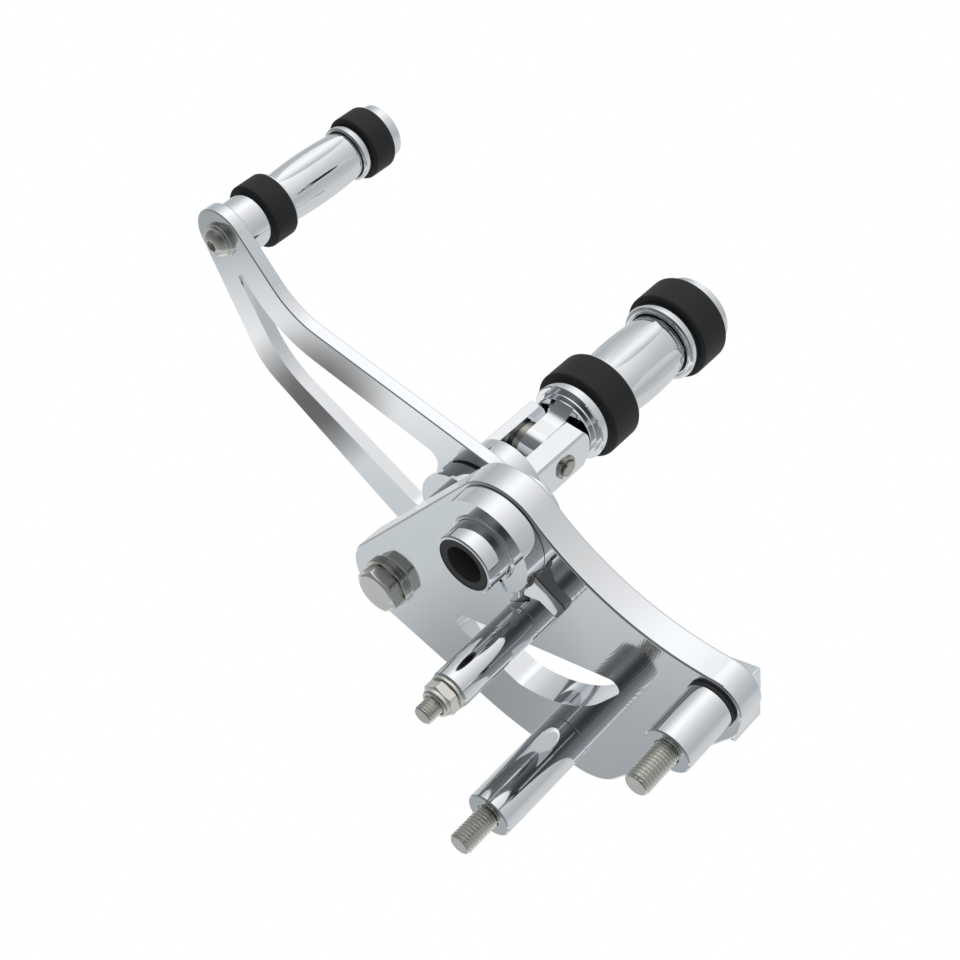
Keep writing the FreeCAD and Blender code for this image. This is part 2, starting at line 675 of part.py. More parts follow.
BASE_BACK = PIN_Y - CLEVIS_TIP_RADIUS - BASE_GAP - BASE_LENGTH
PEG_RING_ONE = BASE_BACK - PEG_RING_LENGTH
PEG_BARREL_END = PEG_RING_ONE - PEG_BARREL_LENGTH
PEG_BEAD_END = PEG_BARREL_END - PEG_BEAD_LENGTH
PEG_RING_TWO = PEG_BEAD_END - PEG_RING_LENGTH
PEG_SEAT_RADIUS = PEG_RING_RADIUS - RING_SEAT_DEPTH


def tongue():
    """Tongue with a hollow neck, round above the pin and square below it, where it stops."""
    left = PEG_X - REAR_EAR_INSIDE + FACE_GAP
    base = PIN_Y - CLEVIS_TIP_RADIUS - BASE_GAP
    half = CLEVIS_HALF_HEIGHT
    heel = PIN_Y + SLOT_FLOOR - RUNNING
    rise = NECK_HEIGHT - half
    hollow = (NECK_LENGTH ** 2 + rise ** 2) / (2 * rise)
    half_angle = math.asin(NECK_LENGTH / hollow) / 2
    valley_y = base + NECK_LENGTH
    high = Vector(left, base, PEG_Z + NECK_HEIGHT)
    bend = Vector(left, valley_y - hollow * math.sin(half_angle),
                  PEG_Z + half + hollow - hollow * math.cos(half_angle))
    valley = Vector(left, valley_y, PEG_Z + half)
    top = Vector(left, PIN_Y, PEG_Z + half)
    front = Vector(left, PIN_Y + half, PEG_Z)
    lean = half * math.sqrt(0.5)
    crest = Vector(left, PIN_Y + lean, PEG_Z + lean)
    toe = Vector(left, heel, PEG_Z)
    foot = Vector(left, heel, PEG_Z - half)
    low = Vector(left, base, PEG_Z - half)
    edges = [Part.Arc(high, bend, valley).toShape(), Part.makeLine(valley, top),
             Part.Arc(top, crest, front).toShape(),
             Part.makeLine(front, toe), Part.makeLine(toe, foot), Part.makeLine(foot, low),
             Part.makeLine(low, high)]
    blade = Part.Face(Part.Wire(edges)).extrude(Vector(TONGUE_WIDTH, 0, 0))
    hole = along_x(left - OVERCUT, left + TONGUE_WIDTH + OVERCUT, PIN_RADIUS + RUNNING)
    return blade.cut(hole)


def peg_core():
    """Folding footpeg in one piece, with seats for the two rubber rings."""
    base = PIN_Y - CLEVIS_TIP_RADIUS - BASE_GAP
    step = BASE_LENGTH / 5
    first = BASE_RADIUS - BASE_FIRST_STEP
    second = BASE_RADIUS - BASE_SECOND_STEP
    profile = [(0, base), (first, base), (first, base - step), (second, base - step),
               (second, base - 2 * step), (BASE_RADIUS - EDGE_BREAK, base - 2 * step),
               (BASE_RADIUS, base - 2 * step - EDGE_BREAK), (BASE_RADIUS, BASE_BACK),
               (PEG_SEAT_RADIUS, BASE_BACK), (PEG_SEAT_RADIUS, PEG_RING_ONE),
               (0, PEG_RING_ONE)]
    core = turned(PEG_X, PEG_Z, profile).fuse(tongue())
    lip_end = PEG_RING_ONE - PEG_LIP_THICK
    lip = rod(PEG_X, PEG_Z, lip_end, PEG_RING_ONE, PEG_LIP_RADIUS)
    barrel = fluted_barrel(PEG_X, PEG_Z, PEG_BARREL_END, lip_end, PEG_BARREL_RADIUS,
                           PEG_BARREL_CROWN)
    collar = bead(PEG_X, PEG_Z, PEG_BEAD_END, PEG_BARREL_END, 0, PEG_BEAD_RADIUS)
    seat = rod(PEG_X, PEG_Z, PEG_RING_TWO, PEG_BEAD_END, PEG_SEAT_RADIUS)
    core = core.fuse([lip, barrel, collar, seat])
    bore = rod(PEG_X, PEG_Z, PEG_RING_TWO - OVERCUT, PEG_RING_TWO + SPIGOT_LENGTH + HOLE_DEEPER,
               SPIGOT_RADIUS + RUNNING)
    return core.cut(bore)


TOE_NECK_END = LEVER_BACK - TOE_NECK_LENGTH
TOE_RING_ONE = TOE_NECK_END - TOE_RING_LENGTH
TOE_BARREL_END = TOE_RING_ONE - TOE_BARREL_LENGTH
TOE_BEAD_END = TOE_BARREL_END - TOE_BEAD_LENGTH
TOE_RING_TWO = TOE_BEAD_END - TOE_RING_LENGTH
TOE_SEAT_RADIUS = TOE_RING_RADIUS - RING_SEAT_DEPTH


def toe_core():
    """Toe peg bolted to the end of the lever."""
    profile = [(0, LEVER_BACK), (TOE_NECK_RADIUS - EDGE_BREAK, LEVER_BACK),
               (TOE_NECK_RADIUS, LEVER_BACK - EDGE_BREAK), (TOE_NECK_RADIUS, TOE_NECK_END),
               (TOE_SEAT_RADIUS, TOE_NECK_END), (TOE_SEAT_RADIUS, TOE_RING_ONE),
               (0, TOE_RING_ONE)]
    neck = turned(TOE_X, TOE_Z, profile)
    lip_end = TOE_RING_ONE - TOE_LIP_THICK
    lip = rod(TOE_X, TOE_Z, lip_end, TOE_RING_ONE, TOE_LIP_RADIUS)
    barrel = fluted_barrel(TOE_X, TOE_Z, TOE_BARREL_END, lip_end, TOE_BARREL_RADIUS,
                           TOE_BARREL_CROWN)
    collar = bead(TOE_X, TOE_Z, TOE_BEAD_END, TOE_BARREL_END, 0, TOE_BEAD_RADIUS)
    seat = rod(TOE_X, TOE_Z, TOE_RING_TWO, TOE_BEAD_END, TOE_SEAT_RADIUS)
    core = neck.fuse([lip, barrel, collar, seat])
    thread = rod(TOE_X, TOE_Z, LEVER_BACK - TOE_BOLT_GRIP - HOLE_DEEPER, LEVER_BACK + OVERCUT,
                 TOE_BOLT_RADIUS + RUNNING)
    bore = rod(TOE_X, TOE_Z, TOE_RING_TWO - OVERCUT, TOE_RING_TWO + SPIGOT_LENGTH + HOLE_DEEPER,
               SPIGOT_RADIUS + RUNNING)
    return core.cut(thread).cut(bore)


# Toe lever group

def lever_outline():
    """Circles that the edge of the toe lever runs round."""
    toe = (TOE_X, TOE_Z, LEVER_TOE_RADIUS)
    bend = (TOE_X - LEVER_BEND_BACK, TOE_Z + LEVER_BEND_RISE, -LEVER_BEND_RADIUS)
    hub = (PEG_X, PEG_Z, LEVER_HUB_RADIUS)
    heel = (PEG_X + LEVER_HEEL_AHEAD, PEG_Z - LEVER_HEEL_DROP, LEVER_HEEL_RADIUS)
    knee = (TOE_X - LEVER_KNEE_BACK, TOE_Z - LEVER_KNEE_DROP, LEVER_KNEE_RADIUS)
    return [toe, bend, hub, heel, knee]


def slot_outline():
    """Circles that the edge of the lever's long slot runs round."""
    tip = (TOE_X - SLOT_TIP_BACK, TOE_Z - SLOT_TIP_DROP, SLOT_TIP_RADIUS)
    bend_radius = LEVER_BEND_RADIUS + SLOT_RIM
    bend = (TOE_X - LEVER_BEND_BACK, TOE_Z + LEVER_BEND_RISE, -bend_radius)
    top_x, top_z = polar(SLOT_HUB_RADIUS + SLOT_TOP_RADIUS, SLOT_TOP_ANGLE, PEG_X, PEG_Z)
    top = (top_x, top_z, SLOT_TOP_RADIUS)
    hub = (PEG_X, PEG_Z, -SLOT_HUB_RADIUS)
    heel = (PEG_X + SLOT_HEEL_AHEAD, PEG_Z - SLOT_HEEL_DROP, SLOT_HEEL_RADIUS)
    knee = (TOE_X - SLOT_KNEE_BACK, TOE_Z - SLOT_KNEE_DROP, SLOT_KNEE_RADIUS)
    return [tip, bend, top, hub, heel, knee]


def toe_lever():
    low = LEVER_BACK - OVERCUT
    high = LEVER_FRONT + OVERCUT
    lever = soften(belt(lever_outline(), LEVER_BACK, LEVER_FRONT), (LEVER_BACK, LEVER_FRONT),
                   LEVER_EDGE)
    lever = lever.cut(belt(slot_outline(), low, high))
    bush_seat = JOURNAL_RADIUS + RUNNING + LEVER_BUSH_WALL
    lever = lever.cut(rod(PEG_X, PEG_Z, low, high, bush_seat))
    return lever.cut(rod(TOE_X, TOE_Z, low, high, TOE_BOLT_RADIUS + LOOSE))


def lever_bush():
    inner = JOURNAL_RADIUS + RUNNING
    return ring(PEG_X, PEG_Z, LEVER_BACK, LEVER_FRONT, inner + LEVER_BUSH_WALL, inner)


def toe_bolt():
    """Button head bolt with a hexagon socket."""
    seat = LEVER_FRONT + TOE_WASHER_THICK
    crown = seat + TOE_HEAD_HEIGHT
    low = Vector(TOE_X, seat, TOE_Z)
    rim = Vector(TOE_X + TOE_HEAD_RADIUS, seat, TOE_Z)
    edge = Vector(TOE_X + TOE_HEAD_RADIUS, seat + TOE_HEAD_HEIGHT * BUTTON_EDGE, TOE_Z)
    middle = Vector(TOE_X + TOE_HEAD_RADIUS * BUTTON_SHOULDER_OUT,
                    seat + TOE_HEAD_HEIGHT * BUTTON_SHOULDER_UP, TOE_Z)
    flat = Vector(TOE_X + TOE_HEAD_RADIUS * BUTTON_FLAT, crown, TOE_Z)
    top = Vector(TOE_X, crown, TOE_Z)
    edges = [Part.makeLine(low, rim), Part.makeLine(rim, edge),
             Part.Arc(edge, middle, flat).toShape(), Part.makeLine(flat, top),
             Part.makeLine(top, low)]
    head = Part.Face(Part.Wire(edges)).revolve(Vector(TOE_X, 0, TOE_Z), Vector(0, 1, 0), 360)
    shank = rod(TOE_X, TOE_Z, LEVER_BACK - TOE_BOLT_GRIP, seat, TOE_BOLT_RADIUS)
    socket = hexagon(TOE_X, TOE_Z, crown - TOE_SOCKET_DEPTH, crown + OVERCUT, TOE_SOCKET_ACROSS)
    return head.fuse(shank).cut(socket)


# Relay group

def pivot_sleeve():
    """Chrome tube that turns in the plate, grooved for its retaining ring."""
    sleeve = turned(0, 0, bar_profile(SLEEVE_BACK, SLEEVE_INBOARD, SLEEVE_RADIUS, EDGE_BREAK,
                                      EDGE_BREAK))
    groove = ring(0, 0, RING_BACK, RETAINER_BACK, SLEEVE_RADIUS + OVERCUT,
                  SLEEVE_RADIUS - RING_GROOVE)
    hollow = rod(0, 0, SLEEVE_BACK - OVERCUT, SLEEVE_INBOARD + OVERCUT,
                 SLEEVE_RADIUS - SLEEVE_WALL)
    return sleeve.cut(hollow).cut(groove)


def pivot_bush():
    return ring(0, 0, SLEEVE_BACK, SLEEVE_INBOARD - BUSH_INSET, SLEEVE_RADIUS - SLEEVE_WALL,
                BORE_RADIUS)


def retaining_ring():
    """Open ring sprung into the groove of the sleeve."""
    circlip = ring(0, 0, RING_BACK, RETAINER_BACK, RING_RADIUS,
                   SLEEVE_RADIUS - RING_GROOVE + RUNNING)
    half = math.radians(RING_OPENING / 2)
    reach = RING_RADIUS + 2 * OVERCUT
    low = RING_BACK - OVERCUT
    places = [Vector(0, low, 0), Vector(reach * math.sin(half), low, -reach * math.cos(half)),
              Vector(-reach * math.sin(half), low, -reach * math.cos(half))]
    wedge = Part.Face(Part.makePolygon(places + places[:1]))
    return circlip.cut(wedge.extrude(Vector(0, RING_THICK + 2 * OVERCUT, 0)))


def arm_outline():
    """Circles that the edge of the relay arm runs round."""
    hub = (0.0, 0.0, COLLAR_RADIUS)
    upper_x, upper_z = polar(COLLAR_RADIUS + ARM_UPPER_FILLET, ARM_UPPER_ANGLE)
    tip_x, tip_z = polar(ARM_TIP_REACH, ARM_TIP_ANGLE)
    lower_x, lower_z = polar(COLLAR_RADIUS + ARM_LOWER_FILLET, ARM_LOWER_ANGLE)
    return [hub, (upper_x, upper_z, -ARM_UPPER_FILLET), (tip_x, tip_z, ARM_TIP_RADIUS),
            (LINK_X, LINK_Z, LINK_BOSS_RADIUS), (lower_x, lower_z, -ARM_LOWER_FILLET)]


def pinch_axis():
    """Middle of the pinch screw and its direction, square to the slit."""
    out = heading(SLIT_ANGLE)
    middle = out * PINCH_REACH + Vector(0, (ARM_BACK + COLLAR_FACE) / 2, 0)
    return middle, Vector(out.z, 0, -out.x)


def relay_arm():
    """Split collar with a short arm that thins down by a ramp towards the link stud."""
    blank = belt(arm_outline(), ARM_BACK, COLLAR_FACE)
    low = ARM_BACK - OVERCUT
    high = COLLAR_FACE + OVERCUT
    away = heading(ARM_RAMP_ANGLE)
    side = Vector(-away.z, 0, away.x)
    reach = LINK_REACH + LINK_BOSS_RADIUS + OVERCUT
    ramp = COLLAR_RADIUS - ARM_RAMP_INSET
    steps = [(ramp, COLLAR_FACE), (ramp + ARM_RAMP, ARM_FACE), (reach, ARM_FACE),
             (reach, high), (ramp, high)]
    places = [away * distance + side * -reach + Vector(0, y, 0) for distance, y in steps]
    relief = Part.Face(Part.makePolygon(places + places[:1])).extrude(side * (2 * reach))
    arm = blank.cut(relief.cut(rod(0, 0, low, high + OVERCUT, COLLAR_RADIUS)))
    arm = arm.cut(rod(0, 0, low, high, SLEEVE_RADIUS))
    arm = arm.cut(rod(LINK_X, LINK_Z, low, high, LINK_THREAD_RADIUS + RUNNING))
    slit = Part.makeBox(COLLAR_RADIUS + ARM_LOWER_FILLET + OVERCUT, SLIT_WIDTH, high - low,
                        Vector(0, -SLIT_WIDTH / 2, low))
    slit.rotate(Vector(0, 0, 0), Vector(1, 0, 0), -90)
    slit.rotate(Vector(0, 0, 0), Vector(0, 1, 0), -SLIT_ANGLE)
    middle, cross = pinch_axis()
    hole = Part.makeCylinder(PINCH_RADIUS + RUNNING, 2 * PINCH_HALF_LENGTH,
                             middle - cross * PINCH_HALF_LENGTH, cross)
    head_room = Part.makeCylinder(PINCH_HEAD_RADIUS + RUNNING, COLLAR_RADIUS,
                                  middle + cross * (PINCH_HALF_LENGTH - PINCH_HEAD_HEIGHT),
                                  cross)
    return arm.cut(slit).cut(hole).cut(head_room)


def pinch_screw():
    """Socket head screw across the slit of the collar."""
    middle, cross = pinch_axis()
    seat = middle + cross * (PINCH_HALF_LENGTH - PINCH_HEAD_HEIGHT)
    shank = Part.makeCylinder(PINCH_RADIUS, 2 * PINCH_HALF_LENGTH - PINCH_HEAD_HEIGHT,
                              middle - cross * PINCH_HALF_LENGTH, cross)
    head = Part.makeCylinder(PINCH_HEAD_RADIUS, PINCH_HEAD_HEIGHT, seat, cross)
    depth = PINCH_HEAD_HEIGHT / 2
    socket = Part.makeCylinder(PINCH_SOCKET_ACROSS / math.sqrt(3), PINCH_HEAD_HEIGHT,
                               seat + cross * depth, cross)
    return shank.fuse(head).cut(socket)


LINK_SLEEVE_END = ARM_FACE + LINK_SLEEVE_LENGTH
LINK_NUT_LOW = LINK_SLEEVE_END + LINK_WASHER_THICK
LINK_END = LINK_NUT_LOW + LINK_NUT_HEIGHT + LINK_TAIL


def link_stud():
    return turned(LINK_X, LINK_Z, [(0, ARM_BACK), (LINK_THREAD_RADIUS, ARM_BACK),
                                   (LINK_THREAD_RADIUS, LINK_END - EDGE_BREAK),
                                   (LINK_THREAD_RADIUS - EDGE_BREAK, LINK_END),
                                   (0, LINK_END)])


def link_nut():
    return hex_nut(LINK_X, LINK_Z, LINK_NUT_LOW, LINK_NUT_LOW + LINK_NUT_HEIGHT,
                   LINK_NUT_ACROSS, LINK_NUT_TURN, LINK_THREAD_RADIUS + RUNNING)


# All pieces

LOWER_STUD_END = LOWER_SPACER_LENGTH + LOWER_STUD_LENGTH
UPPER_SPACER_END = UPPER_WASHER_THICK + UPPER_SPACER_LENGTH
UPPER_STUD_END = UPPER_SPACER_END + UPPER_STUD_LENGTH

PIECES = {
    "main_plate": main_plate(),
    "lower_mount_bolt": cap_bolt(LOWER_X, LOWER_Z, LOWER_SPACER_LENGTH, LOWER_STUD_END),
    "lower_spacer": spacer(LOWER_X, LOWER_Z, 0, LOWER_SPACER_LENGTH, LOWER_SPACER_RADIUS,
                           MOUNT_THREAD_RADIUS + LOOSE),
    "upper_mount_bolt": cap_bolt(UPPER_X, UPPER_Z, UPPER_SPACER_END, UPPER_STUD_END),
    "upper_washer": ring(UPPER_X, UPPER_Z, 0, UPPER_WASHER_THICK, UPPER_WASHER_RADIUS,
                         MOUNT_THREAD_RADIUS + LOOSE),
    "upper_spacer": spacer(UPPER_X, UPPER_Z, UPPER_WASHER_THICK, UPPER_SPACER_END,
                           UPPER_SPACER_RADIUS, MOUNT_THREAD_RADIUS + LOOSE),
    "rear_block": rear_block(),
    "peg_bolt": peg_bolt(),
    "peg_bolt_washer": spacer_washer(PEG_X, PEG_Z, 0, PEG_WASHER_THICK, PEG_WASHER_RADIUS,
                                     PEG_BOLT_RADIUS + LOOSE),
    "pivot_boss": pivot_boss(),
    "thrust_washer": ring(PEG_X, PEG_Z, WASHER_BACK, BOSS_BACK, THRUST_WASHER_RADIUS,
                          JOURNAL_RADIUS + LOOSE),
    "peg_clevis": clevis(),
    "clevis_pin": clevis_pin(),
    "clevis_pin_clip": pin_clip(),
    "clevis_spring_washer": spring_washer(),
    "foot_peg_core": peg_core(),
    "foot_peg_inner_ring": rubber_ring(PEG_X, PEG_Z, PEG_RING_ONE, BASE_BACK,
                                       PEG_RING_RADIUS, PEG_SEAT_RADIUS),
    "foot_peg_outer_ring": rubber_ring(PEG_X, PEG_Z, PEG_RING_TWO, PEG_BEAD_END,
                                       PEG_RING_RADIUS, PEG_SEAT_RADIUS),
    "foot_peg_cap": end_cap(PEG_X, PEG_Z, PEG_RING_TWO, PEG_CAP_LENGTH, PEG_CAP_RADIUS),
    "toe_lever": toe_lever(),
    "toe_lever_bush": lever_bush(),
    "toe_peg_bolt": toe_bolt(),
    "toe_peg_washer": spacer_washer(TOE_X, TOE_Z, LEVER_FRONT, TOE_WASHER_THICK,
                                    TOE_WASHER_RADIUS, TOE_BOLT_RADIUS + LOOSE),
    "toe_peg_core": toe_core(),
    "toe_peg_inner_ring": rubber_ring(TOE_X, TOE_Z, TOE_RING_ONE, TOE_NECK_END,
                                      TOE_RING_RADIUS, TOE_SEAT_RADIUS),
    "toe_peg_outer_ring": rubber_ring(TOE_X, TOE_Z, TOE_RING_TWO, TOE_BEAD_END,
                                      TOE_RING_RADIUS, TOE_SEAT_RADIUS),
    "toe_peg_cap": end_cap(TOE_X, TOE_Z, TOE_RING_TWO, TOE_CAP_LENGTH, TOE_CAP_RADIUS),
    "pivot_sleeve": pivot_sleeve(),
    "pivot_bush": pivot_bush(),
    "sleeve_washer": ring(0, 0, RETAINER_BACK, PLATE_BACK - FACE_GAP, RETAINER_RADIUS,
                          SLEEVE_RADIUS + RUNNING),
    "sleeve_retaining_ring": retaining_ring(),
    "relay_arm": relay_arm(),
    "relay_pinch_screw": pinch_screw(),
    "link_stud": link_stud(),
    "link_sleeve": spacer(LINK_X, LINK_Z, ARM_FACE, LINK_SLEEVE_END, LINK_SLEEVE_RADIUS,
                          LINK_THREAD_RADIUS + LOOSE),
    "link_washer": spacer_washer(LINK_X, LINK_Z, LINK_SLEEVE_END, LINK_WASHER_THICK,
                                 LINK_WASHER_RADIUS, LINK_THREAD_RADIUS + LOOSE),
    "link_nut": link_nut(),
}

os.makedirs("parts", exist_ok=True)
for name, solid in PIECES.items():
    solid.exportStep("parts/" + name + ".step")
    box = solid.BoundBox
    print(name, len(solid.Solids), round(solid.Volume, 1), solid.isValid(),
          [round(value, 1) for value in (box.XMin, box.YMin, box.ZMin, box.XMax, box.YMax,
                                         box.ZMax)])
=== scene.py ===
"""Looks for the motorcycle forward controls: chrome plate, pegs, toe lever and relay arm."""

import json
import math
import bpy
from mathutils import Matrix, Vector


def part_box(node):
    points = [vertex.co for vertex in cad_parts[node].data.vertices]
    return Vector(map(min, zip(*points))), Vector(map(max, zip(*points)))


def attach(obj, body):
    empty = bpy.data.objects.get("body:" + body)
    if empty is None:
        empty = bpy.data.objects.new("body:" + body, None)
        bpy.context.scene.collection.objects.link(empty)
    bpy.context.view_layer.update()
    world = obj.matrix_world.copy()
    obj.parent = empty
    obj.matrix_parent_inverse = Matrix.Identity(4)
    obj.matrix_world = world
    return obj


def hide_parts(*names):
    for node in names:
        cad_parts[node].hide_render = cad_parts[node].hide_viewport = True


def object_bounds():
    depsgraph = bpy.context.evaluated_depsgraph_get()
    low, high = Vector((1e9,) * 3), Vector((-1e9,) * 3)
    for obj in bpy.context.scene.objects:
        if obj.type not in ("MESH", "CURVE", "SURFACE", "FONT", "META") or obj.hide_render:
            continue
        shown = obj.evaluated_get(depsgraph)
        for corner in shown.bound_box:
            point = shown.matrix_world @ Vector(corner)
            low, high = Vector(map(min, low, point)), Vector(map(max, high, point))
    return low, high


bl_info = {
    "name": "Motorcycle forward controls",
    "version": (1, 0, 0),
    "blender": (4, 5, 0),
    "location": "3D View > Sidebar > Forward controls",
    "description": "Builds the looks of a set of chrome forward controls round its solid frame",
    "category": "Object",
}

import bmesh
import bpy
import numpy as np
from bpy.props import FloatProperty, FloatVectorProperty, IntProperty, PointerProperty
from bpy.types import Operator, Panel, PropertyGroup
from mathutils import Matrix

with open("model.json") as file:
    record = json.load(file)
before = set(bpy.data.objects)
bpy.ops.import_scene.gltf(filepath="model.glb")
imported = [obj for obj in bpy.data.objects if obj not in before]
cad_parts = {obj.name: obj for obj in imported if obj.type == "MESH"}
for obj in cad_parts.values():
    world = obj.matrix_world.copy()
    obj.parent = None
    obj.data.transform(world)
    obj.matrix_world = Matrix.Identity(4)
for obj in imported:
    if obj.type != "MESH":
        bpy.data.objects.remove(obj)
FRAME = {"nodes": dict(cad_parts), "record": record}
CAD_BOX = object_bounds()

TURN = 2 * math.pi
MERGE = 1e-7
FACET_MERGE = 2e-6
FLAT_ANGLE = math.radians(0.4)
CREASE_ANGLE = math.radians(32)
BEVEL_ANGLE = math.radians(28)

MOUNT_RADIUS = 0.005
LINK_RADIUS = 0.004
SHANK_RELIEF = 0.0004
CAP_HEAD_RADIUS = 0.008
CAP_SOCKET_ACROSS = 0.008
CAP_SOCKET_DEPTH = 0.004
CAP_SEAT = 0.007
HEXAGON_DOME = 0.455
HEXAGON_SLOPE = 0.5
HEXAGON_POWER = 34
CORNER_ROWS = 5

CAMERA_PLACE = (-0.2536, 0.3064, 0.4811)
CAMERA_RIGHT = (-0.7575, -0.6530, 0.0007)
CAMERA_UP = (0.4908, -0.5690, 0.6602)
CAMERA_FORWARD = (0.4304, -0.5000, -0.7515)
LAMP_AIM = (0.35, -0.50, 0.79)
GAP_AIM = (-0.42, 0.50, 0.76)
STAND_AIM = (0.5240, 0.4616, -0.7158)
HAZE_AIM = (0.3741, 0.4392, -0.8168)

PLATE = "plate_group"
LEVER = "lever_group"
PEG = "foot_peg"
RELAY = "relay_group"

MIRROR_CHROME = ("toe_lever", "relay_arm", "peg_clevis", "foot_peg_core", "foot_peg_cap",
                 "toe_peg_core", "toe_peg_cap", "lower_spacer", "upper_spacer", "link_sleeve",
                 "pivot_boss", "pivot_sleeve", "rear_block")
STAINLESS = ("lower_mount_bolt", "upper_mount_bolt", "peg_bolt", "peg_bolt_washer",
             "toe_peg_bolt", "toe_peg_washer", "link_stud", "link_washer", "link_nut",
             "sleeve_washer")
RUBBER = ("foot_peg_inner_ring", "foot_peg_outer_ring", "toe_peg_inner_ring",
          "toe_peg_outer_ring")
BLACK_PLASTIC = ("pivot_bush", "upper_washer", "thrust_washer")
BRONZE = ("toe_lever_bush",)
SPRING_STEEL = ("clevis_pin", "clevis_pin_clip", "clevis_spring_washer", "relay_pinch_screw",
                "sleeve_retaining_ring")


# Sizes and colours that a user would change

class ChromeFinish(PropertyGroup):
    colour: FloatVectorProperty(
        name="Chrome colour", description="Reflected colour of the plating",
        subtype="COLOR", size=3, min=0, max=1, default=(0.83, 0.845, 0.865))
    roughness: FloatProperty(
        name="Roughness", description="How blurred the plating's reflections are",
        subtype="FACTOR", min=0, max=1, default=0.045)
    ripple_pitch: FloatProperty(
        name="Ripple pitch", description="Distance between the milling ripples of the plate",
        subtype="DISTANCE", unit="LENGTH", min=0.0002, max=0.01, default=0.0011)
    ripple_depth: FloatProperty(
        name="Ripple depth", description="Height of the milling ripples of the plate",
        subtype="DISTANCE", unit="LENGTH", min=0, max=0.001, default=0.0000035)


class SteelFinish(PropertyGroup):
    colour: FloatVectorProperty(
        name="Steel colour", description="Colour of the stainless bolts and nuts",
        subtype="COLOR", size=3, min=0, max=1, default=(0.76, 0.75, 0.705))
    roughness: FloatProperty(
        name="Roughness", description="How blurred the reflections of the bolts are",
        subtype="FACTOR", min=0, max=1, default=0.22)


class DarkFinish(PropertyGroup):
    rubber: FloatVectorProperty(
        name="Rubber colour", description="Colour of the rubber rings",
        subtype="COLOR", size=3, min=0, max=1, default=(0.012, 0.012, 0.0125))
    plastic: FloatVectorProperty(
        name="Bush colour", description="Colour of the black bush and washers",
        subtype="COLOR", size=3, min=0, max=1, default=(0.038, 0.038, 0.04))


class ThreadSizes(PropertyGroup):
    mount_pitch: FloatProperty(
        name="Mounting pitch", description="Pitch of the mounting bolts' thread",
        subtype="DISTANCE", unit="LENGTH", min=0.0005, max=0.003, default=0.0015)
    link_pitch: FloatProperty(
        name="Link pitch", description="Pitch of the link stud's thread",
        subtype="DISTANCE", unit="LENGTH", min=0.0005, max=0.003, default=0.00125)
    depth_share: FloatProperty(
        name="Thread depth", description="Depth of a thread as a share of its pitch",
        subtype="FACTOR", min=0.1, max=1, default=0.6134)
    rows_per_turn: IntProperty(
        name="Rows per turn", description="Rows of faces along one turn of a thread",
        min=6, max=32, default=14)


class EdgeSizes(PropertyGroup):
    bevel: FloatProperty(
        name="Broken edge", description="Width of the broken edges of machined pieces",
        subtype="DISTANCE", unit="LENGTH", min=0.00005, max=0.002, default=0.00035)
    nut_round: FloatProperty(
        name="Nut edge", description="Rounding of the edges of nuts and bolt heads",
        subtype="DISTANCE", unit="LENGTH", min=0.00005, max=0.001, default=0.0002)


class StageSizes(PropertyGroup):
    lens: FloatProperty(
        name="Lens", description="Focal length of the camera in millimetres",
        min=10, max=300, default=64.46)
    floor_drop: FloatProperty(
        name="Floor drop", description="Height of the lowest point over the floor",
        subtype="DISTANCE", unit="LENGTH", min=0, max=2, default=0.30)
    floor_colour: FloatVectorProperty(
        name="Floor colour", description="Colour of the pale studio floor",
        subtype="COLOR", size=3, min=0, max=1, default=(0.86, 0.87, 0.88))
    sky: FloatProperty(
        name="Sky light", description="Strength of the soft light from all sides",
        min=0, max=3, default=0.62)
    key: FloatProperty(
        name="Key light", description="Power of the overhead softbox in watts",
        min=0, max=100, default=5.0)


GROUPS = (("chrome", ChromeFinish), ("steel", SteelFinish), ("dark", DarkFinish),
          ("thread", ThreadSizes), ("edge", EdgeSizes), ("stage", StageSizes))


def settings(kind):
    """The scene's settings of one kind."""
    return getattr(bpy.context.scene, "controls_" + kind)


# Shader maths

class Field:
    """A socket of a node tree. Sums, products and powers of fields add the nodes they need."""

    def __init__(self, tree, socket):
        self.tree = tree
        self.socket = socket

    def maths(self, operation, *values):
        node = self.tree.nodes.new("ShaderNodeMath")
        node.operation = operation
        for place, value in enumerate(values):
            if isinstance(value, Field):
                self.tree.links.new(value.socket, node.inputs[place])
            else:
                node.inputs[place].default_value = value
        return Field(self.tree, node.outputs[0])

    def __add__(self, other):
        return self.maths("ADD", self, other)

    def __radd__(self, other):
        return self.maths("ADD", other, self)

    def __sub__(self, other):
        return self.maths("SUBTRACT", self, other)

    def __rsub__(self, other):
        return self.maths("SUBTRACT", other, self)

    def __mul__(self, other):
        return self.maths("MULTIPLY", self, other)

    def __rmul__(self, other):
        return self.maths("MULTIPLY", other, self)

    def __pow__(self, other):
        return self.maths("POWER", self, other)

    def clipped(self):
        return self.maths("MINIMUM", self.maths("MAXIMUM", self, 0.0), 1.0)


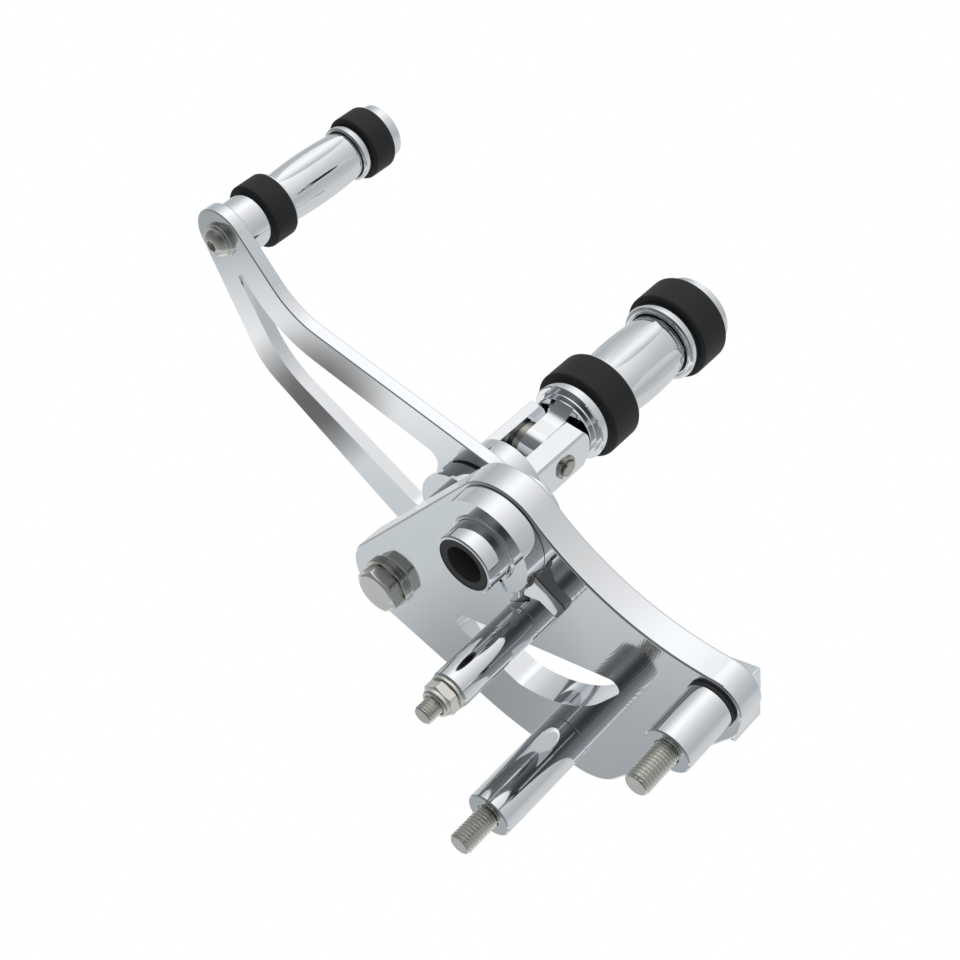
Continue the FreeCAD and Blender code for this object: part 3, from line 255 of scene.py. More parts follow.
class Recipe:
    """Builds the nodes of one material or of the world."""

    def __init__(self, tree):
        self.tree = tree
        tree.nodes.clear()

    def node(self, kind, made=None, out=0, **sockets):
        """Adds a node. made holds its settings, set first; sockets hold values or fields."""
        node = self.tree.nodes.new(kind)
        for key, value in (made or {}).items():
            if key == "stops":
                ramp = node.color_ramp
                for place, colour in value[len(ramp.elements):]:
                    ramp.elements.new(place)
                for element, (place, colour) in zip(ramp.elements, value):
                    element.position = place
                    element.color = rgba(colour)
            else:
                setattr(node, key, value)
        for key, value in sockets.items():
            name = key.replace("_", " ")
            socket = self.pick(node.inputs, name)
            if isinstance(value, Field):
                self.tree.links.new(value.socket, socket)
            else:
                socket.default_value = value
        return Field(self.tree, self.pick(node.outputs, out)) if len(node.outputs) else None

    @staticmethod
    def pick(sockets, name):
        """The live socket of that name or number."""
        if isinstance(name, int):
            return sockets[name]
        for socket in sockets:
            if socket.name.lower() == name.lower() and socket.enabled:
                return socket
        raise KeyError(name)

    def mix(self, factor, first, second):
        """Blend of two colours."""
        return self.node("ShaderNodeMix", {"data_type": "RGBA"}, "Result", Factor=factor,
                         A=first, B=second)

    def place(self, centre=(0.0, 0.0, 0.0), scale=(1.0, 1.0, 1.0)):
        """Object coordinates, moved so that the centre is the origin and then scaled."""
        here = self.node("ShaderNodeTexCoord", out="Object")
        shift = tuple(-c * s for c, s in zip(centre, scale))
        return self.node("ShaderNodeMapping", out="Vector", Vector=here, Location=shift,
                         Scale=scale)


def rgba(colour, level=1.0):
    """A colour times a level, with full alpha."""
    return tuple(c * level for c in colour) + (1.0,)


def material(name, build):
    """A material whose nodes build(recipe) adds, and whose surface is the field it returns."""
    made = bpy.data.materials.new(name)
    made.use_nodes = True
    recipe = Recipe(made.node_tree)
    surface = build(recipe)
    recipe.node("ShaderNodeOutputMaterial", Surface=surface)
    return made


def chrome_surface(recipe, ripple_centre=None):
    """Bright plating: a mirror that is a little softer in faint patches.

    With a centre it also has milling ripples, a sine of the distance from that centre.
    """
    finish = settings("chrome")
    here = recipe.place()
    patches = recipe.node("ShaderNodeTexNoise", out="Fac", Vector=here, Scale=38.0, Detail=3.0)
    wiped = recipe.node("ShaderNodeTexNoise", out="Fac", Scale=210.0, Detail=2.0,
                        Vector=recipe.place(scale=(1.0, 1.0, 0.18)))
    rough = finish.roughness + 0.035 * patches ** 2 + 0.02 * wiped ** 3
    tint = recipe.mix(patches, rgba(finish.colour, 0.97), rgba(finish.colour, 1.02))
    if ripple_centre is None:
        relief = wiped
        depth = finish.ripple_depth * 0.12
    else:
        centred = recipe.place(centre=ripple_centre, scale=(1.0, 0.0, 1.0))
        reach = recipe.node("ShaderNodeVectorMath", {"operation": "LENGTH"}, "Value",
                            Vector=centred)
        wander = recipe.node("ShaderNodeTexNoise", out="Fac", Vector=here, Scale=9.0)
        wave = reach.maths("SINE", (reach + 0.0006 * wander) * (TURN / finish.ripple_pitch))
        relief = 0.5 + 0.5 * wave * wander
        depth = finish.ripple_depth
    bump = recipe.node("ShaderNodeBump", out="Normal", Strength=1.0, Distance=depth,
                       Height=relief)
    return recipe.node("ShaderNodeBsdfPrincipled", Base_Color=tint, Metallic=1.0,
                       Roughness=rough, Normal=bump)


def steel_surface(recipe):
    """Stainless steel: warm grey, clouded, with a fine streaky grain."""
    finish = settings("steel")
    grain = recipe.node("ShaderNodeTexNoise", out="Fac", Scale=900.0, Detail=3.0,
                        Vector=recipe.place(scale=(0.35, 1.0, 0.35)))
    cloud = recipe.node("ShaderNodeTexNoise", out="Fac", Scale=160.0, Detail=2.0,
                        Vector=recipe.place())
    tint = recipe.mix(cloud, rgba(finish.colour, 0.88), rgba(finish.colour, 1.1))
    bump = recipe.node("ShaderNodeBump", out="Normal", Strength=0.5, Distance=0.000003,
                       Height=grain)
    return recipe.node("ShaderNodeBsdfPrincipled", Base_Color=tint, Metallic=1.0,
                       Roughness=finish.roughness - 0.05 + 0.12 * cloud, Normal=bump)


def rubber_surface(recipe):
    """Smooth moulded rubber with a very fine grain."""
    finish = settings("dark")
    grain = recipe.node("ShaderNodeTexNoise", out="Fac", Scale=1400.0, Detail=4.0,
                        Vector=recipe.place())
    cloud = recipe.node("ShaderNodeTexNoise", out="Fac", Scale=60.0, Detail=2.0,
                        Vector=recipe.place())
    tint = recipe.mix(cloud, rgba(finish.rubber, 0.85), rgba(finish.rubber, 1.2))
    bump = recipe.node("ShaderNodeBump", out="Normal", Strength=0.6, Distance=0.00004,
                       Height=grain)
    return recipe.node("ShaderNodeBsdfPrincipled", Base_Color=tint, Metallic=0.0,
                       Roughness=0.52 + 0.1 * cloud, Specular_IOR_Level=0.35, Normal=bump)


def plastic_surface(recipe):
    """Black plastic with a fine grain."""
    finish = settings("dark")
    grain = recipe.node("ShaderNodeTexNoise", out="Fac", Scale=1100.0, Detail=2.0,
                        Vector=recipe.place())
    tint = recipe.mix(grain, rgba(finish.plastic, 0.9), rgba(finish.plastic, 1.15))
    bump = recipe.node("ShaderNodeBump", out="Normal", Strength=0.4, Distance=0.00003,
                       Height=grain)
    return recipe.node("ShaderNodeBsdfPrincipled", Base_Color=tint, Metallic=0.0,
                       Roughness=0.55 + 0.1 * grain, Specular_IOR_Level=0.3, Normal=bump)


def bronze_surface(recipe):
    """Plain bearing bronze, dulled in patches."""
    cloud = recipe.node("ShaderNodeTexNoise", out="Fac", Scale=240.0, Detail=3.0,
                        Vector=recipe.place())
    tint = recipe.mix(cloud, (0.46, 0.31, 0.15, 1), (0.62, 0.44, 0.22, 1))
    return recipe.node("ShaderNodeBsdfPrincipled", Base_Color=tint, Metallic=1.0,
                       Roughness=0.28 + 0.15 * cloud)


def spring_surface(recipe):
    """Oiled spring steel, warm grey with brighter patches."""
    cloud = recipe.node("ShaderNodeTexNoise", out="Fac", Scale=300.0, Detail=3.0,
                        Vector=recipe.place())
    tint = recipe.mix(cloud, (0.34, 0.32, 0.29, 1), (0.54, 0.52, 0.48, 1))
    return recipe.node("ShaderNodeBsdfPrincipled", Base_Color=tint, Metallic=1.0,
                       Roughness=0.25 + 0.15 * cloud)


FINISHES = {}


def finish_for(node):
    """The material of a CAD node, made when it is first asked for."""
    kinds = (("mirror chrome", MIRROR_CHROME, chrome_surface),
             ("stainless steel", STAINLESS, steel_surface),
             ("black rubber", RUBBER, rubber_surface),
             ("black plastic", BLACK_PLASTIC, plastic_surface),
             ("bearing bronze", BRONZE, bronze_surface),
             ("spring steel", SPRING_STEEL, spring_surface))
    for name, nodes, build in kinds:
        if node in nodes:
            break
    else:
        name = "rippled chrome"
        lowest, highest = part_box("pivot_sleeve")
        middle = (lowest + highest) / 2

        def build(recipe):
            return chrome_surface(recipe, (middle.x, 0.0, middle.z))
    if name not in FINISHES:
        FINISHES[name] = material(name, build)
    return FINISHES[name]


# Surfaces

def quads(rows, columns, wrap_rows, wrap_columns):
    """Corner numbers of the faces of a grid, as an array."""
    down = np.arange(rows if wrap_rows else rows - 1)[:, None]
    along = np.arange(columns if wrap_columns else columns - 1)[None, :]
    next_down = (down + 1) % rows
    next_along = (along + 1) % columns
    corners = (down * columns + along, down * columns + next_along,
               next_down * columns + next_along, next_down * columns + along)
    return np.stack(corners, axis=-1).reshape(-1, 4)


def tidy(mesh):
    """Merges doubles, turns the faces outwards and shades the mesh with sharp creases."""
    shell = bmesh.new()
    shell.from_mesh(mesh)
    bmesh.ops.remove_doubles(shell, verts=shell.verts, dist=MERGE)
    bmesh.ops.dissolve_degenerate(shell, edges=shell.edges, dist=MERGE)
    bmesh.ops.recalc_face_normals(shell, faces=shell.faces)
    shell.to_mesh(mesh)
    shell.free()
    mesh.shade_smooth()
    mesh.set_sharp_from_angle(angle=CREASE_ANGLE)


def add_piece(name, mesh, body, replaced, finish_node=None):
    """Puts a mesh in the scene as a piece that rides on a body and stands for CAD nodes."""
    piece = bpy.data.objects.new(name, mesh)
    bpy.context.scene.collection.objects.link(piece)
    source = finish_node or replaced[0]
    mesh.materials.clear()
    mesh.materials.append(finish_for(source))
    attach(piece, body)
    if replaced:
        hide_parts(*replaced)
    for row in FRAME["record"]["subparts"]:
        row["node"] == source
    return piece


def grid_piece(name, points, body, replaced, wrap_rows=False, finish_node=None):
    """A piece from a grid of points (rows, columns, 3) whose columns close on themselves."""
    rows, columns = points.shape[:2]
    mesh = bpy.data.meshes.new(name)
    faces = quads(rows, columns, wrap_rows, True)
    mesh.from_pydata(points.reshape(-1, 3).tolist(), [], faces.tolist())
    tidy(mesh)
    return add_piece(name, mesh, body, replaced, finish_node)


def capped_piece(name, points, body, finish_node):
    """A piece from a grid of points whose columns close and whose end rows are filled."""
    rows, columns = points.shape[:2]
    mesh = bpy.data.meshes.new(name)
    faces = quads(rows, columns, False, True).tolist()
    faces.append(list(range(columns)))
    faces.append(list(range((rows - 1) * columns, rows * columns)))
    mesh.from_pydata(points.reshape(-1, 3).tolist(), [], faces)
    tidy(mesh)
    return add_piece(name, mesh, body, (), finish_node)


def axis_of(node):
    """Middle of a node's box: a point on the axis of a turned piece."""
    lowest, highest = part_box(node)
    return (lowest + highest) / 2


def span_of(node):
    """Lowest and highest Y of a node."""
    lowest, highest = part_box(node)
    return lowest.y, highest.y


def swept(x, z, radius, level, count):
    """Grid round an axis along Y: each row is at radius(row, angle) and level(row, angle)."""
    angle = np.linspace(0, TURN, count, endpoint=False)[None, :]
    radius = np.broadcast_to(radius, (len(radius), count))
    level = np.broadcast_to(level, (len(level), count))
    return np.stack([x + radius * np.cos(angle), level, z + radius * np.sin(angle)], axis=-1)


def stacked(count, *bands):
    """Rows of radius and level, from bands whose two sides are numbers, columns or grids."""
    blank = np.zeros((1, count))
    filled = [np.broadcast_arrays(radius, level, blank)[:2] for radius, level in bands]
    return (np.concatenate([radius for radius, level in filled]),
            np.concatenate([level for radius, level in filled]))


def rounded(profile, size):
    """Profile of (radius, y) points whose corners are rounded by arcs of one size.

    At a corner the arc is the quadratic curve through the two points where it leaves the
    sides, with the corner as its control point.
    """
    places = np.asarray(profile, float)
    ahead = np.roll(places, -1, axis=0) - places
    reach = np.linalg.norm(ahead, axis=1, keepdims=True)
    unit = ahead / np.maximum(reach, MERGE)
    trim = np.minimum(size, 0.45 * np.minimum(reach, np.roll(reach, 1, axis=0)))
    first = places - np.roll(unit, 1, axis=0) * trim
    last = places + unit * trim
    share = np.linspace(0, 1, CORNER_ROWS)[None, :, None]
    arcs = (first[:, None] * (1 - share) ** 2 + 2 * places[:, None] * share * (1 - share)
            + last[:, None] * share ** 2)
    return arcs.reshape(-1, 2)


def hexagon_radius(across, count, turn):
    """Radius of a hexagon by angle, with slightly rounded corners.

    It is half the width over flats divided by a high power mean of the three cosines of the
    angle from the flats' normals.
    """
    angle = np.linspace(0, TURN, count, endpoint=False)[:, None] - math.radians(turn)
    normals = np.radians([30, 90, 150])[None, :]
    powers = np.abs(np.cos(angle - normals)) ** HEXAGON_POWER
    return across / 2 / np.sum(powers, axis=1) ** (1 / HEXAGON_POWER)


# Threaded bolts

def thread_rows(radius, start, end, pitch, count, lead):
    """Radius and level of the rows of a right-hand thread.

    The radius falls from its crest by the thread's depth times a rounded wave of the level
    over the pitch plus the angle over a turn, and a cone breaks the end.
    """
    sizes = settings("thread")
    depth = sizes.depth_share * pitch
    level = np.arange(start, end, pitch / sizes.rows_per_turn)
    level = np.append(level, end)[:, None]
    angle = np.linspace(0, 1, count, endpoint=False)[None, :]
    phase = (level / pitch + angle) % 1.0
    slope = np.abs(2 * phase - 1)
    flank = (0.5 - 0.5 * np.cos(math.pi * slope)) ** 1.4
    fade = np.clip((level - start) / pitch, 0, 1)
    crest = radius - depth * flank * fade
    cone = radius - (level - (end - lead)) * 0.9
    return np.minimum(crest, cone), level


def threaded_bolt(name, node, body, radius, thread_start, pitch, head=None, lead=0.001):
    """Bolt along Y: an optional socket head below, a plain shank and a thread to its end."""
    axis = axis_of(node)
    low, high = span_of(node)
    count = 96
    if head is None:
        bands = [(0.0, low), (radius - SHANK_RELIEF, low), (radius, low + SHANK_RELIEF)]
        shank = radius
    else:
        head_radius, socket, socket_depth, seat = head
        hollow = hexagon_radius(socket, count, 0)[None, :]
        shank = radius - SHANK_RELIEF
        bands = [(0.0, low + socket_depth), (hollow, low + socket_depth), (hollow, low + 0.0003),
                 (hollow + 0.0003, low), (head_radius - 0.0009, low),
                 (head_radius - 0.0002, low + 0.0004), (head_radius, low + 0.0011),
                 (head_radius, seat - 0.0002), (head_radius - 0.0002, seat), (shank, seat)]
    bands.append((shank, thread_start))
    bands.append(thread_rows(radius, thread_start, high, pitch, count, lead))
    bands.append((0.0, high))
    points = swept(axis.x, axis.z, *stacked(count, *bands), count)
    return grid_piece(name, points, body, (node,))


class CONTROLS_OT_mounting_bolts(Operator):
    """Threaded mounting bolts and the threaded link stud"""
    bl_idname = "controls.mounting_bolts"
    bl_label = "Mounting bolts and link stud"

    def execute(self, context):
        sizes = settings("thread")
        for node, spacer in (("lower_mount_bolt", "lower_spacer"),
                             ("upper_mount_bolt", "upper_spacer")):
            seat = span_of("main_plate")[0] + CAP_SEAT
            head = (CAP_HEAD_RADIUS, CAP_SOCKET_ACROSS, CAP_SOCKET_DEPTH, seat)
            threaded_bolt(node.replace("_bolt", "_threaded_bolt"), node, PLATE, MOUNT_RADIUS,
                          span_of(spacer)[1] - 0.004, sizes.mount_pitch, head)
        threaded_bolt("link_threaded_stud", "link_stud", RELAY, LINK_RADIUS,
                      span_of("link_nut")[0] - 0.002, sizes.link_pitch, lead=0.0007)
        return {"FINISHED"}


# Nuts, bolt heads and washers

def head_bands(outline, top, dome_start, side_end, edge):
    """Bands of a hexagon's top and side, from the middle outwards and down.

    Inside a circle the top is flat; outside it falls by a slope times the distance from the
    circle, so the corners fall most. A quarter circle joins the top to the side.
    """
    reach = outline - edge
    share = np.linspace(0.1, 1, 8)[:, None]
    radius = dome_start + (reach - dome_start) * share
    level = top - HEXAGON_SLOPE * np.maximum(radius - dome_start, 0)
    turn = np.linspace(0.15, 1, 6)[:, None] * (math.pi / 2)
    corner_level = level[-1:] - edge * (1 - np.cos(turn))
    side = np.linspace(0.2, 1, 4)[:, None]
    return [(np.array([[0.97], [1.0]]) * dome_start, top), (radius, level),
            (reach + edge * np.sin(turn), corner_level),
            (outline, corner_level[-1:] * (1 - side) + side_end * side)]


def hex_bolt(name, node, body, across, turn, head_height, shank):
    """Hexagon head bolt along Y whose head is at the high end."""
    axis = axis_of(node)
    low, high = span_of(node)
    count = 288
    edge = settings("edge").nut_round
    outline = hexagon_radius(across, count, turn)[None, :]
    face = high - head_height
    lip = 0.0005
    foot = across * 0.475
    bands = [(0.0, high), (across * 0.3, high)]
    bands += head_bands(outline, high, across * HEXAGON_DOME, face + lip + edge, edge)
    bands += [(outline - edge * 0.3, face + lip + edge * 0.3), (foot, face + lip), (foot, face),
              (shank, face), (shank, low + 0.0006), (shank - 0.0006, low), (0.0, low)]
    points = swept(axis.x, axis.z, *stacked(count, *bands), count)
    return grid_piece(name, points, body, (node,))


def hex_nut(name, node, body, across, turn, bore, crown=None):
    """Hexagon nut along Y with both faces domed, or with a turned crown at the high end."""
    axis = axis_of(node)
    low, high = span_of(node)
    count = 288
    edge = settings("edge").nut_round
    outline = hexagon_radius(across, count, turn)[None, :]
    dome = across * HEXAGON_DOME
    wide = bore + 0.0007
    crown_radius, crown_height = crown or (0.0, 0.0)
    top = high - crown_height
    middle = (top + low) / 2
    if crown:
        ring = 0.0012
        bend = np.linspace(math.pi / 2, 0, 9)[:, None]
        bands = [(bore, high - 0.0009), (bore + 0.0004, high),
                 (crown_radius - ring + ring * np.cos(bend), high - ring + ring * np.sin(bend)),
                 (crown_radius + 0.0001, top)]
        dome = max(dome, crown_radius + 0.0002)
    else:
        bands = [(bore, top - 0.0007), (wide, top)]
    bands += head_bands(outline, top, dome, middle, edge)
    below = head_bands(outline, -low, dome, -middle, edge)
    bands += [(np.atleast_2d(radius)[::-1], -np.atleast_2d(level)[::-1])
              for radius, level in reversed(below)]
    bands += [(wide, low), (bore, low + 0.0007)]
    points = swept(axis.x, axis.z, *stacked(count, *bands), count)
    return grid_piece(name, points, body, (node,), wrap_rows=True)


def flat_washer(name, node, body, radius, bore, edge):
    """Washer along Y with rounded rims."""
    axis = axis_of(node)
    low, high = span_of(node)
    line = rounded([(bore, low), (radius, low), (radius, high), (bore, high)], edge)
    points = swept(axis.x, axis.z, line[:, :1], line[:, 1:], 96)
    return grid_piece(name, points, body, (node,), wrap_rows=True)


class CONTROLS_OT_nuts_and_heads(Operator):
    """Peg bolt, lock nut of the link stud and their washers"""
    bl_idname = "controls.nuts_and_heads"
    bl_label = "Nuts, bolt heads and washers"

    def execute(self, context):
        hex_bolt("peg_hexagon_bolt", "peg_bolt", PLATE, across=0.019, turn=12,
                 head_height=0.0064, shank=0.006)
        hex_nut("link_lock_nut", "link_nut", RELAY, across=0.013, turn=20, bore=0.00405,
                crown=(0.0061, 0.0021))
        for name, node, body, radius, bore, edge in (
                ("peg_rounded_washer", "peg_bolt_washer", PLATE, 0.0116, 0.00625, 0.0004),
                ("link_rounded_washer", "link_washer", RELAY, 0.0076, 0.00425, 0.0004),
                ("toe_peg_rounded_washer", "toe_peg_washer", LEVER, 0.0084, 0.00425, 0.0004),
                ("upper_black_washer", "upper_washer", PLATE, 0.0099, 0.00525, 0.0003)):
            flat_washer(name, node, body, radius, bore, edge)
        return {"FINISHED"}


# Machined pieces with broken edges

def broken_copy(name, node, body, width):
    """Copy of a CAD node whose facets are merged and whose sharp edges are bevelled."""
    mesh = FRAME["nodes"][node].data.copy()
    mesh.name = name
    shell = bmesh.new()
    shell.from_mesh(mesh)
    bmesh.ops.remove_doubles(shell, verts=shell.verts, dist=FACET_MERGE)
    bmesh.ops.dissolve_limit(shell, angle_limit=FLAT_ANGLE, verts=shell.verts,
                             edges=shell.edges)
    shell.to_mesh(mesh)
    shell.free()
    for layer in ("custom_normal", "sharp_edge"):
        if layer in mesh.attributes:
            mesh.attributes.remove(mesh.attributes[layer])
    mesh.shade_smooth()
    piece = add_piece(name, mesh, body, (node,))
    bevel = piece.modifiers.new("Broken edges", "BEVEL")
    bevel.width = width
    bevel.segments = 3
    bevel.limit_method = "ANGLE"
    bevel.angle_limit = BEVEL_ANGLE
    bevel.harden_normals = True
    bevel.use_clamp_overlap = True


class CONTROLS_OT_machined_pieces(Operator):
    """Clevis, relay arm, rear block, clevis pin and clip with broken edges"""
    bl_idname = "controls.machined_pieces"
    bl_label = "Machined pieces"

    def execute(self, context):
        width = settings("edge").bevel
        broken_copy("relay_arm_with_broken_edges", "relay_arm", RELAY, width)
        broken_copy("clevis_with_broken_edges", "peg_clevis", PLATE, width)
        broken_copy("rear_block_with_broken_edges", "rear_block", PLATE, width * 2)
        broken_copy("clevis_pin_with_broken_edges", "clevis_pin", PLATE, width)
        broken_copy("clevis_clip_with_broken_edges", "clevis_pin_clip", PLATE, width / 2)
        return {"FINISHED"}


class CONTROLS_OT_collar_lip(Operator):
    """Rounded lip round the pivot sleeve on the face of the collar"""
    bl_idname = "controls.collar_lip"
    bl_label = "Collar lip"

    def execute(self, context):
        axis = axis_of("pivot_sleeve")
        face = span_of("relay_arm")[1]
        inner = 0.0127
        outer = 0.0142
        height = 0.0009
        half_opening = math.radians(9)
        slit = math.radians(-124)
        angle = np.linspace(slit + half_opening, slit + TURN - half_opening, 150)[:, None]
        around = np.linspace(0, math.pi, 12)[None, :]
        radius = (inner + outer) / 2 + (outer - inner) / 2 * np.cos(around)
        level = face + height * np.sin(around)
        points = np.stack([axis.x + radius * np.cos(angle), level + 0 * angle,
                           axis.z + radius * np.sin(angle)], axis=-1)
        capped_piece("collar_lip", points, RELAY, "relay_arm")
        return {"FINISHED"}


class CONTROLS_OT_arm_side(Operator):
    """Drafted upper side of the relay arm, from the collar to the tip"""
    bl_idname = "controls.arm_side"
    bl_label = "Drafted side of the arm"

    def execute(self, context):
        foot = span_of("relay_arm")[0]
        along = np.array([-0.921, -0.389])
        across = np.array([-0.389, 0.921])
        corner = (across + along) / math.sqrt(2)
        start = np.array([-0.0181, -0.0152])
        tip = np.array([-0.0289, -0.0214])
        tip_radius = 0.0015
        inside = -0.0003
        cover = 0.00004
        clear = 0.00002
        stations = ((start - 0.003 * along, across, 0.0088, 0.0019),
                    (start, across, 0.0073, 0.0016),
                    (start + 0.0051 * along, across, 0.0047, 0.0011),
                    (tip + tip_radius * across, across, 0.0047, 0.0011),
                    (tip + tip_radius * corner, corner, 0.0047, 0.0007),
                    (tip + tip_radius * along, along, 0.0047, 0.0002))
        rows = []
        for place, outward, high, lean in stations:
            section = ((inside, clear), (lean, clear), (cover, high), (inside, high - 0.0002))
            corners = [(*(place + outward * reach), level) for reach, level in section]
            rows.append([(x, foot + level, z) for x, z, level in corners])
        capped_piece("arm_drafted_side", np.array(rows), RELAY, "relay_arm")
        return {"FINISHED"}


class CONTROLS_OT_beads(Operator):
    """Rounded beads, and black rings of painted shade where the barrels of the pegs meet their
    outer rings
    """
    bl_idname = "controls.beads"
    bl_label = "Beads of the pegs"

    def execute(self, context):
        half = np.linspace(0, math.pi, 17)[:, None]
        for name, node, body, ring, length, barrel, outer in (
                ("foot_peg", "foot_peg_core", PEG, "foot_peg_outer_ring", 0.0045, 0.0154, 0.0199),
                ("toe_peg", "toe_peg_core", LEVER, "toe_peg_outer_ring", 0.0041, 0.0112, 0.0134)):
            axis = axis_of(ring)
            back = span_of(ring)[1]
            face = back + length
            inner = barrel + (outer - barrel) * 0.13
            middle = (inner + outer) / 2
            wide = (outer - inner) / 2
            drop = 0.0003
            arc = (middle - wide * np.cos(half), face + wide * 0.95 * np.sin(half))
            bands = [(inner, face - drop), arc, (outer, face - drop),
                     (outer - 0.0004, back + drop), (outer - 0.0012, back), (inner, back)]
            points = swept(axis.x, axis.z, *stacked(144, *bands), 144)
            grid_piece(name + "_bead", points, body, (), True, node)
            # A solid black rubber ring between the barrel and the bead: painted shade standing
            # for the shadow of a groove
            low, high = face - 0.0004, face + 0.0009
            near, far = barrel - 0.0012, inner + 0.0001
            painted_shade_ring = [(near, high), (far, high), (far, low), (near, low)]
            points = swept(axis.x, axis.z, *stacked(96, *painted_shade_ring), 96)
            grid_piece(name + "_painted_shade_ring", points, body, (), True, ring)
        return {"FINISHED"}


class CONTROLS_OT_finishes(Operator):
    """Chrome, steel, rubber, plastic and bronze on the CAD nodes that stay"""
    bl_idname = "controls.finishes"
    bl_label = "Finishes"

    def execute(self, context):
        for name, node in FRAME["nodes"].items():
            node.data.materials.clear()
            node.data.materials.append(finish_for(name))
        return {"FINISHED"}


# Stage

def sky_surface(recipe):
    """White for the camera, and for polished metal a studio that is brightest overhead.

    The studio's level is a ramp of the direction's height: one ramp for the outboard half,
    where a soft light hangs over the front, and a darker one for the inboard half, where the
    dark end of the room is. A smooth step of the direction's Y blends the two. One lamp, a
    power of how far the direction points at it, brightens the room, and three clipped slopes
    of the same measure darken it: a gap overhead, and a stand and a faint haze below.
    """
    sizes = settings("stage")
    way = recipe.node("ShaderNodeTexCoord", out="Generated")
    parts = recipe.node("ShaderNodeSeparateXYZ", Vector=way)
    height = Field(recipe.tree, parts.socket.node.outputs[2]) * 0.5 + 0.5
    inboard = Field(recipe.tree, parts.socket.node.outputs[1])
    lit_side = [(0.0, 0.72), (0.2, 0.71), (0.35, 0.66), (0.45, 0.56), (0.5, 0.53),
                (0.6, 0.56), (0.75, 0.63), (0.87, 0.75), (0.91, 0.83), (0.95, 0.88), (1.0, 0.88)]
    dark_side = [(0.0, 0.98), (0.03, 0.90), (0.055, 0.58), (0.07, 0.42), (0.085, 0.48),
                 (0.1, 0.64), (0.125, 0.72), (0.14, 0.95), (0.155, 0.99), (0.168, 0.74),
                 (0.18, 0.42), (0.25, 0.34), (0.35, 0.30), (0.5, 0.20), (0.75, 0.13),
                 (1.0, 0.22)]
    outer = recipe.node("ShaderNodeValToRGB", {"stops": cooled(lit_side, 0.74)}, "Color",
                        Fac=height)
    inner = recipe.node("ShaderNodeValToRGB", {"stops": cooled(dark_side, 0.82)}, "Color",
                        Fac=height)
    side = (inboard * 3 + 0.5).clipped()
    room = recipe.mix(side * side * (3 - 2 * side), outer, inner)
    lamp = towards(recipe, way, LAMP_AIM) ** 12 * 0.42
    gap = (towards(recipe, way, GAP_AIM) * 5 - 4.2).clipped() * 0.92
    stand = (towards(recipe, way, STAND_AIM) * 1000 - 998.9).clipped() * 0.85
    haze = (towards(recipe, way, HAZE_AIM) * 490 - 489.0).clipped() * 0.3
    room = recipe.node("ShaderNodeVectorMath", {"operation": "SCALE"}, "Vector", Vector=room,
                       Scale=(1 + lamp) * (1 - gap) * (1 - stand) * (1 - haze))
    room_light = recipe.node("ShaderNodeBackground", Color=room, Strength=1.0)
    soft_light = recipe.node("ShaderNodeBackground", Color=(1, 1, 1, 1), Strength=sizes.sky)
    white = recipe.node("ShaderNodeBackground", Color=(1, 1, 1, 1), Strength=1.0)
    path = recipe.tree.nodes.new("ShaderNodeLightPath")
    glossy = Field(recipe.tree, path.outputs["Is Glossy Ray"])
    camera = Field(recipe.tree, path.outputs["Is Camera Ray"])
    through = Field(recipe.tree, path.outputs["Is Transmission Ray"])
    lit = blend_shaders(recipe, glossy, soft_light, room_light)
    return blend_shaders(recipe, (camera + through).clipped(), lit, white)


def cooled(stops, neutral):
    """Ramp stops that are a little blue below a neutral level."""
    blue = [(place, level, min(max((neutral - level) / 0.1, 0), 1)) for place, level in stops]
    return [(place, (level * (1 - 0.075 * cool), level * (1 - 0.025 * cool), level))
            for place, level, cool in blue]


def towards(recipe, way, aim):
    """How far a direction points the way of another: their dot product, never negative."""
    made = recipe.node("ShaderNodeVectorMath", {"operation": "DOT_PRODUCT"}, "Value",
                       Vector=way)
    made.socket.node.inputs[1].default_value = aim
    return made.clipped()


def blend_shaders(recipe, factor, first, second):
    """Mix of two shaders."""
    made = recipe.node("ShaderNodeMixShader", Fac=factor)
    node = made.socket.node
    recipe.tree.links.new(first.socket, node.inputs[1])
    recipe.tree.links.new(second.socket, node.inputs[2])
    return made


def floor_surface(recipe):
    """Pale floor that shows white to the camera and through glass."""
    plain = recipe.node("ShaderNodeBsdfDiffuse", Color=rgba(settings("stage").floor_colour))
    white = recipe.node("ShaderNodeEmission", Color=(1, 1, 1, 1), Strength=1.0)
    path = recipe.tree.nodes.new("ShaderNodeLightPath")
    camera = Field(recipe.tree, path.outputs["Is Camera Ray"])
    through = Field(recipe.tree, path.outputs["Is Transmission Ray"])
    return blend_shaders(recipe, (camera + through).clipped(), plain, white)


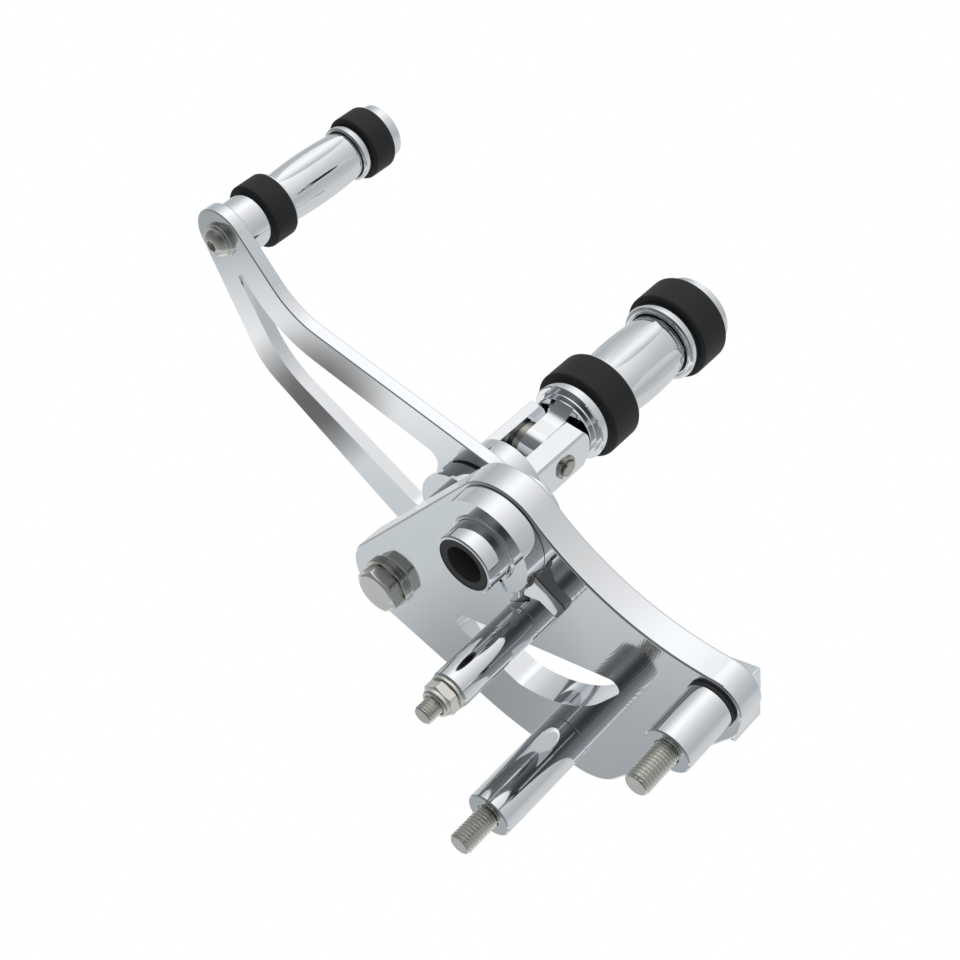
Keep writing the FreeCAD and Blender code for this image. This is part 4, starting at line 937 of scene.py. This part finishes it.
class CONTROLS_OT_stage(Operator):
    """Camera at the photograph's angle, pale floor, soft light and white background"""
    bl_idname = "controls.stage"
    bl_label = "Stage"

    def execute(self, context):
        sizes = settings("stage")
        scene = context.scene
        lens = bpy.data.cameras.new("camera")
        lens.lens = sizes.lens
        lens.sensor_width = 36.0
        lens.clip_start = 0.01
        lens.clip_end = 20.0
        camera = bpy.data.objects.new("camera", lens)
        scene.collection.objects.link(camera)
        back = tuple(-part for part in CAMERA_FORWARD)
        turn = Matrix((CAMERA_RIGHT, CAMERA_UP, back)).transposed().to_4x4()
        turn.translation = CAMERA_PLACE
        camera.matrix_world = turn
        scene.camera = camera

        lowest = CAD_BOX[0].z - sizes.floor_drop
        half = 1.6
        corners = [(-half, -half, lowest), (half, -half, lowest), (half, half, lowest),
                   (-half, half, lowest)]
        mesh = bpy.data.meshes.new("floor")
        mesh.from_pydata(corners, [], [(0, 1, 2, 3)])
        floor = bpy.data.objects.new("floor", mesh)
        scene.collection.objects.link(floor)
        mesh.materials.append(material("studio floor", floor_surface))
        floor.visible_glossy = False

        world = bpy.data.worlds.new("studio")
        world.use_nodes = True
        recipe = Recipe(world.node_tree)
        recipe.node("ShaderNodeOutputWorld", Surface=sky_surface(recipe))
        scene.world = world

        lamp = bpy.data.lights.new("overhead softbox", "AREA")
        lamp.energy = sizes.key
        lamp.shape = "RECTANGLE"
        lamp.size = 0.9
        lamp.size_y = 0.6
        box = bpy.data.objects.new("overhead softbox", lamp)
        scene.collection.objects.link(box)
        place = Matrix.Translation((0.2, -0.45, 0.85))
        look = place.translation.normalized().to_track_quat("Z", "Y").to_matrix().to_4x4()
        box.matrix_world = place @ look
        box.visible_glossy = False

        scene.view_settings.view_transform = "Standard"
        return {"FINISHED"}


class CONTROLS_PT_panel(Panel):
    """Lists the pieces of the forward controls and their sizes"""
    bl_idname = "CONTROLS_PT_panel"
    bl_label = "Forward controls"
    bl_space_type = "VIEW_3D"
    bl_region_type = "UI"
    bl_category = "Forward controls"

    def draw(self, context):
        for kind, group in GROUPS:
            box = self.layout.box()
            for name in group.__annotations__:
                box.prop(settings(kind), name)
        for operator in OPERATORS:
            self.layout.operator(operator.bl_idname)


OPERATORS = (CONTROLS_OT_finishes, CONTROLS_OT_mounting_bolts, CONTROLS_OT_nuts_and_heads,
             CONTROLS_OT_machined_pieces, CONTROLS_OT_collar_lip, CONTROLS_OT_arm_side,
             CONTROLS_OT_beads, CONTROLS_OT_stage)


def register():
    for kind, group in GROUPS:
        bpy.utils.register_class(group)
        setattr(bpy.types.Scene, "controls_" + kind, PointerProperty(type=group))
    for operator in OPERATORS:
        bpy.utils.register_class(operator)
    bpy.utils.register_class(CONTROLS_PT_panel)


def unregister():
    bpy.utils.unregister_class(CONTROLS_PT_panel)
    for operator in reversed(OPERATORS):
        bpy.utils.unregister_class(operator)
    for kind, group in reversed(GROUPS):
        delattr(bpy.types.Scene, "controls_" + kind)
        bpy.utils.unregister_class(group)


def main():
    register()
    bpy.ops.controls.finishes()
    bpy.ops.controls.mounting_bolts()
    bpy.ops.controls.nuts_and_heads()
    bpy.ops.controls.machined_pieces()
    bpy.ops.controls.collar_lip()
    bpy.ops.controls.arm_side()
    bpy.ops.controls.beads()
    bpy.ops.controls.stage()
    bpy.context.view_layer.update()


if __name__ == "__main__":
    main()
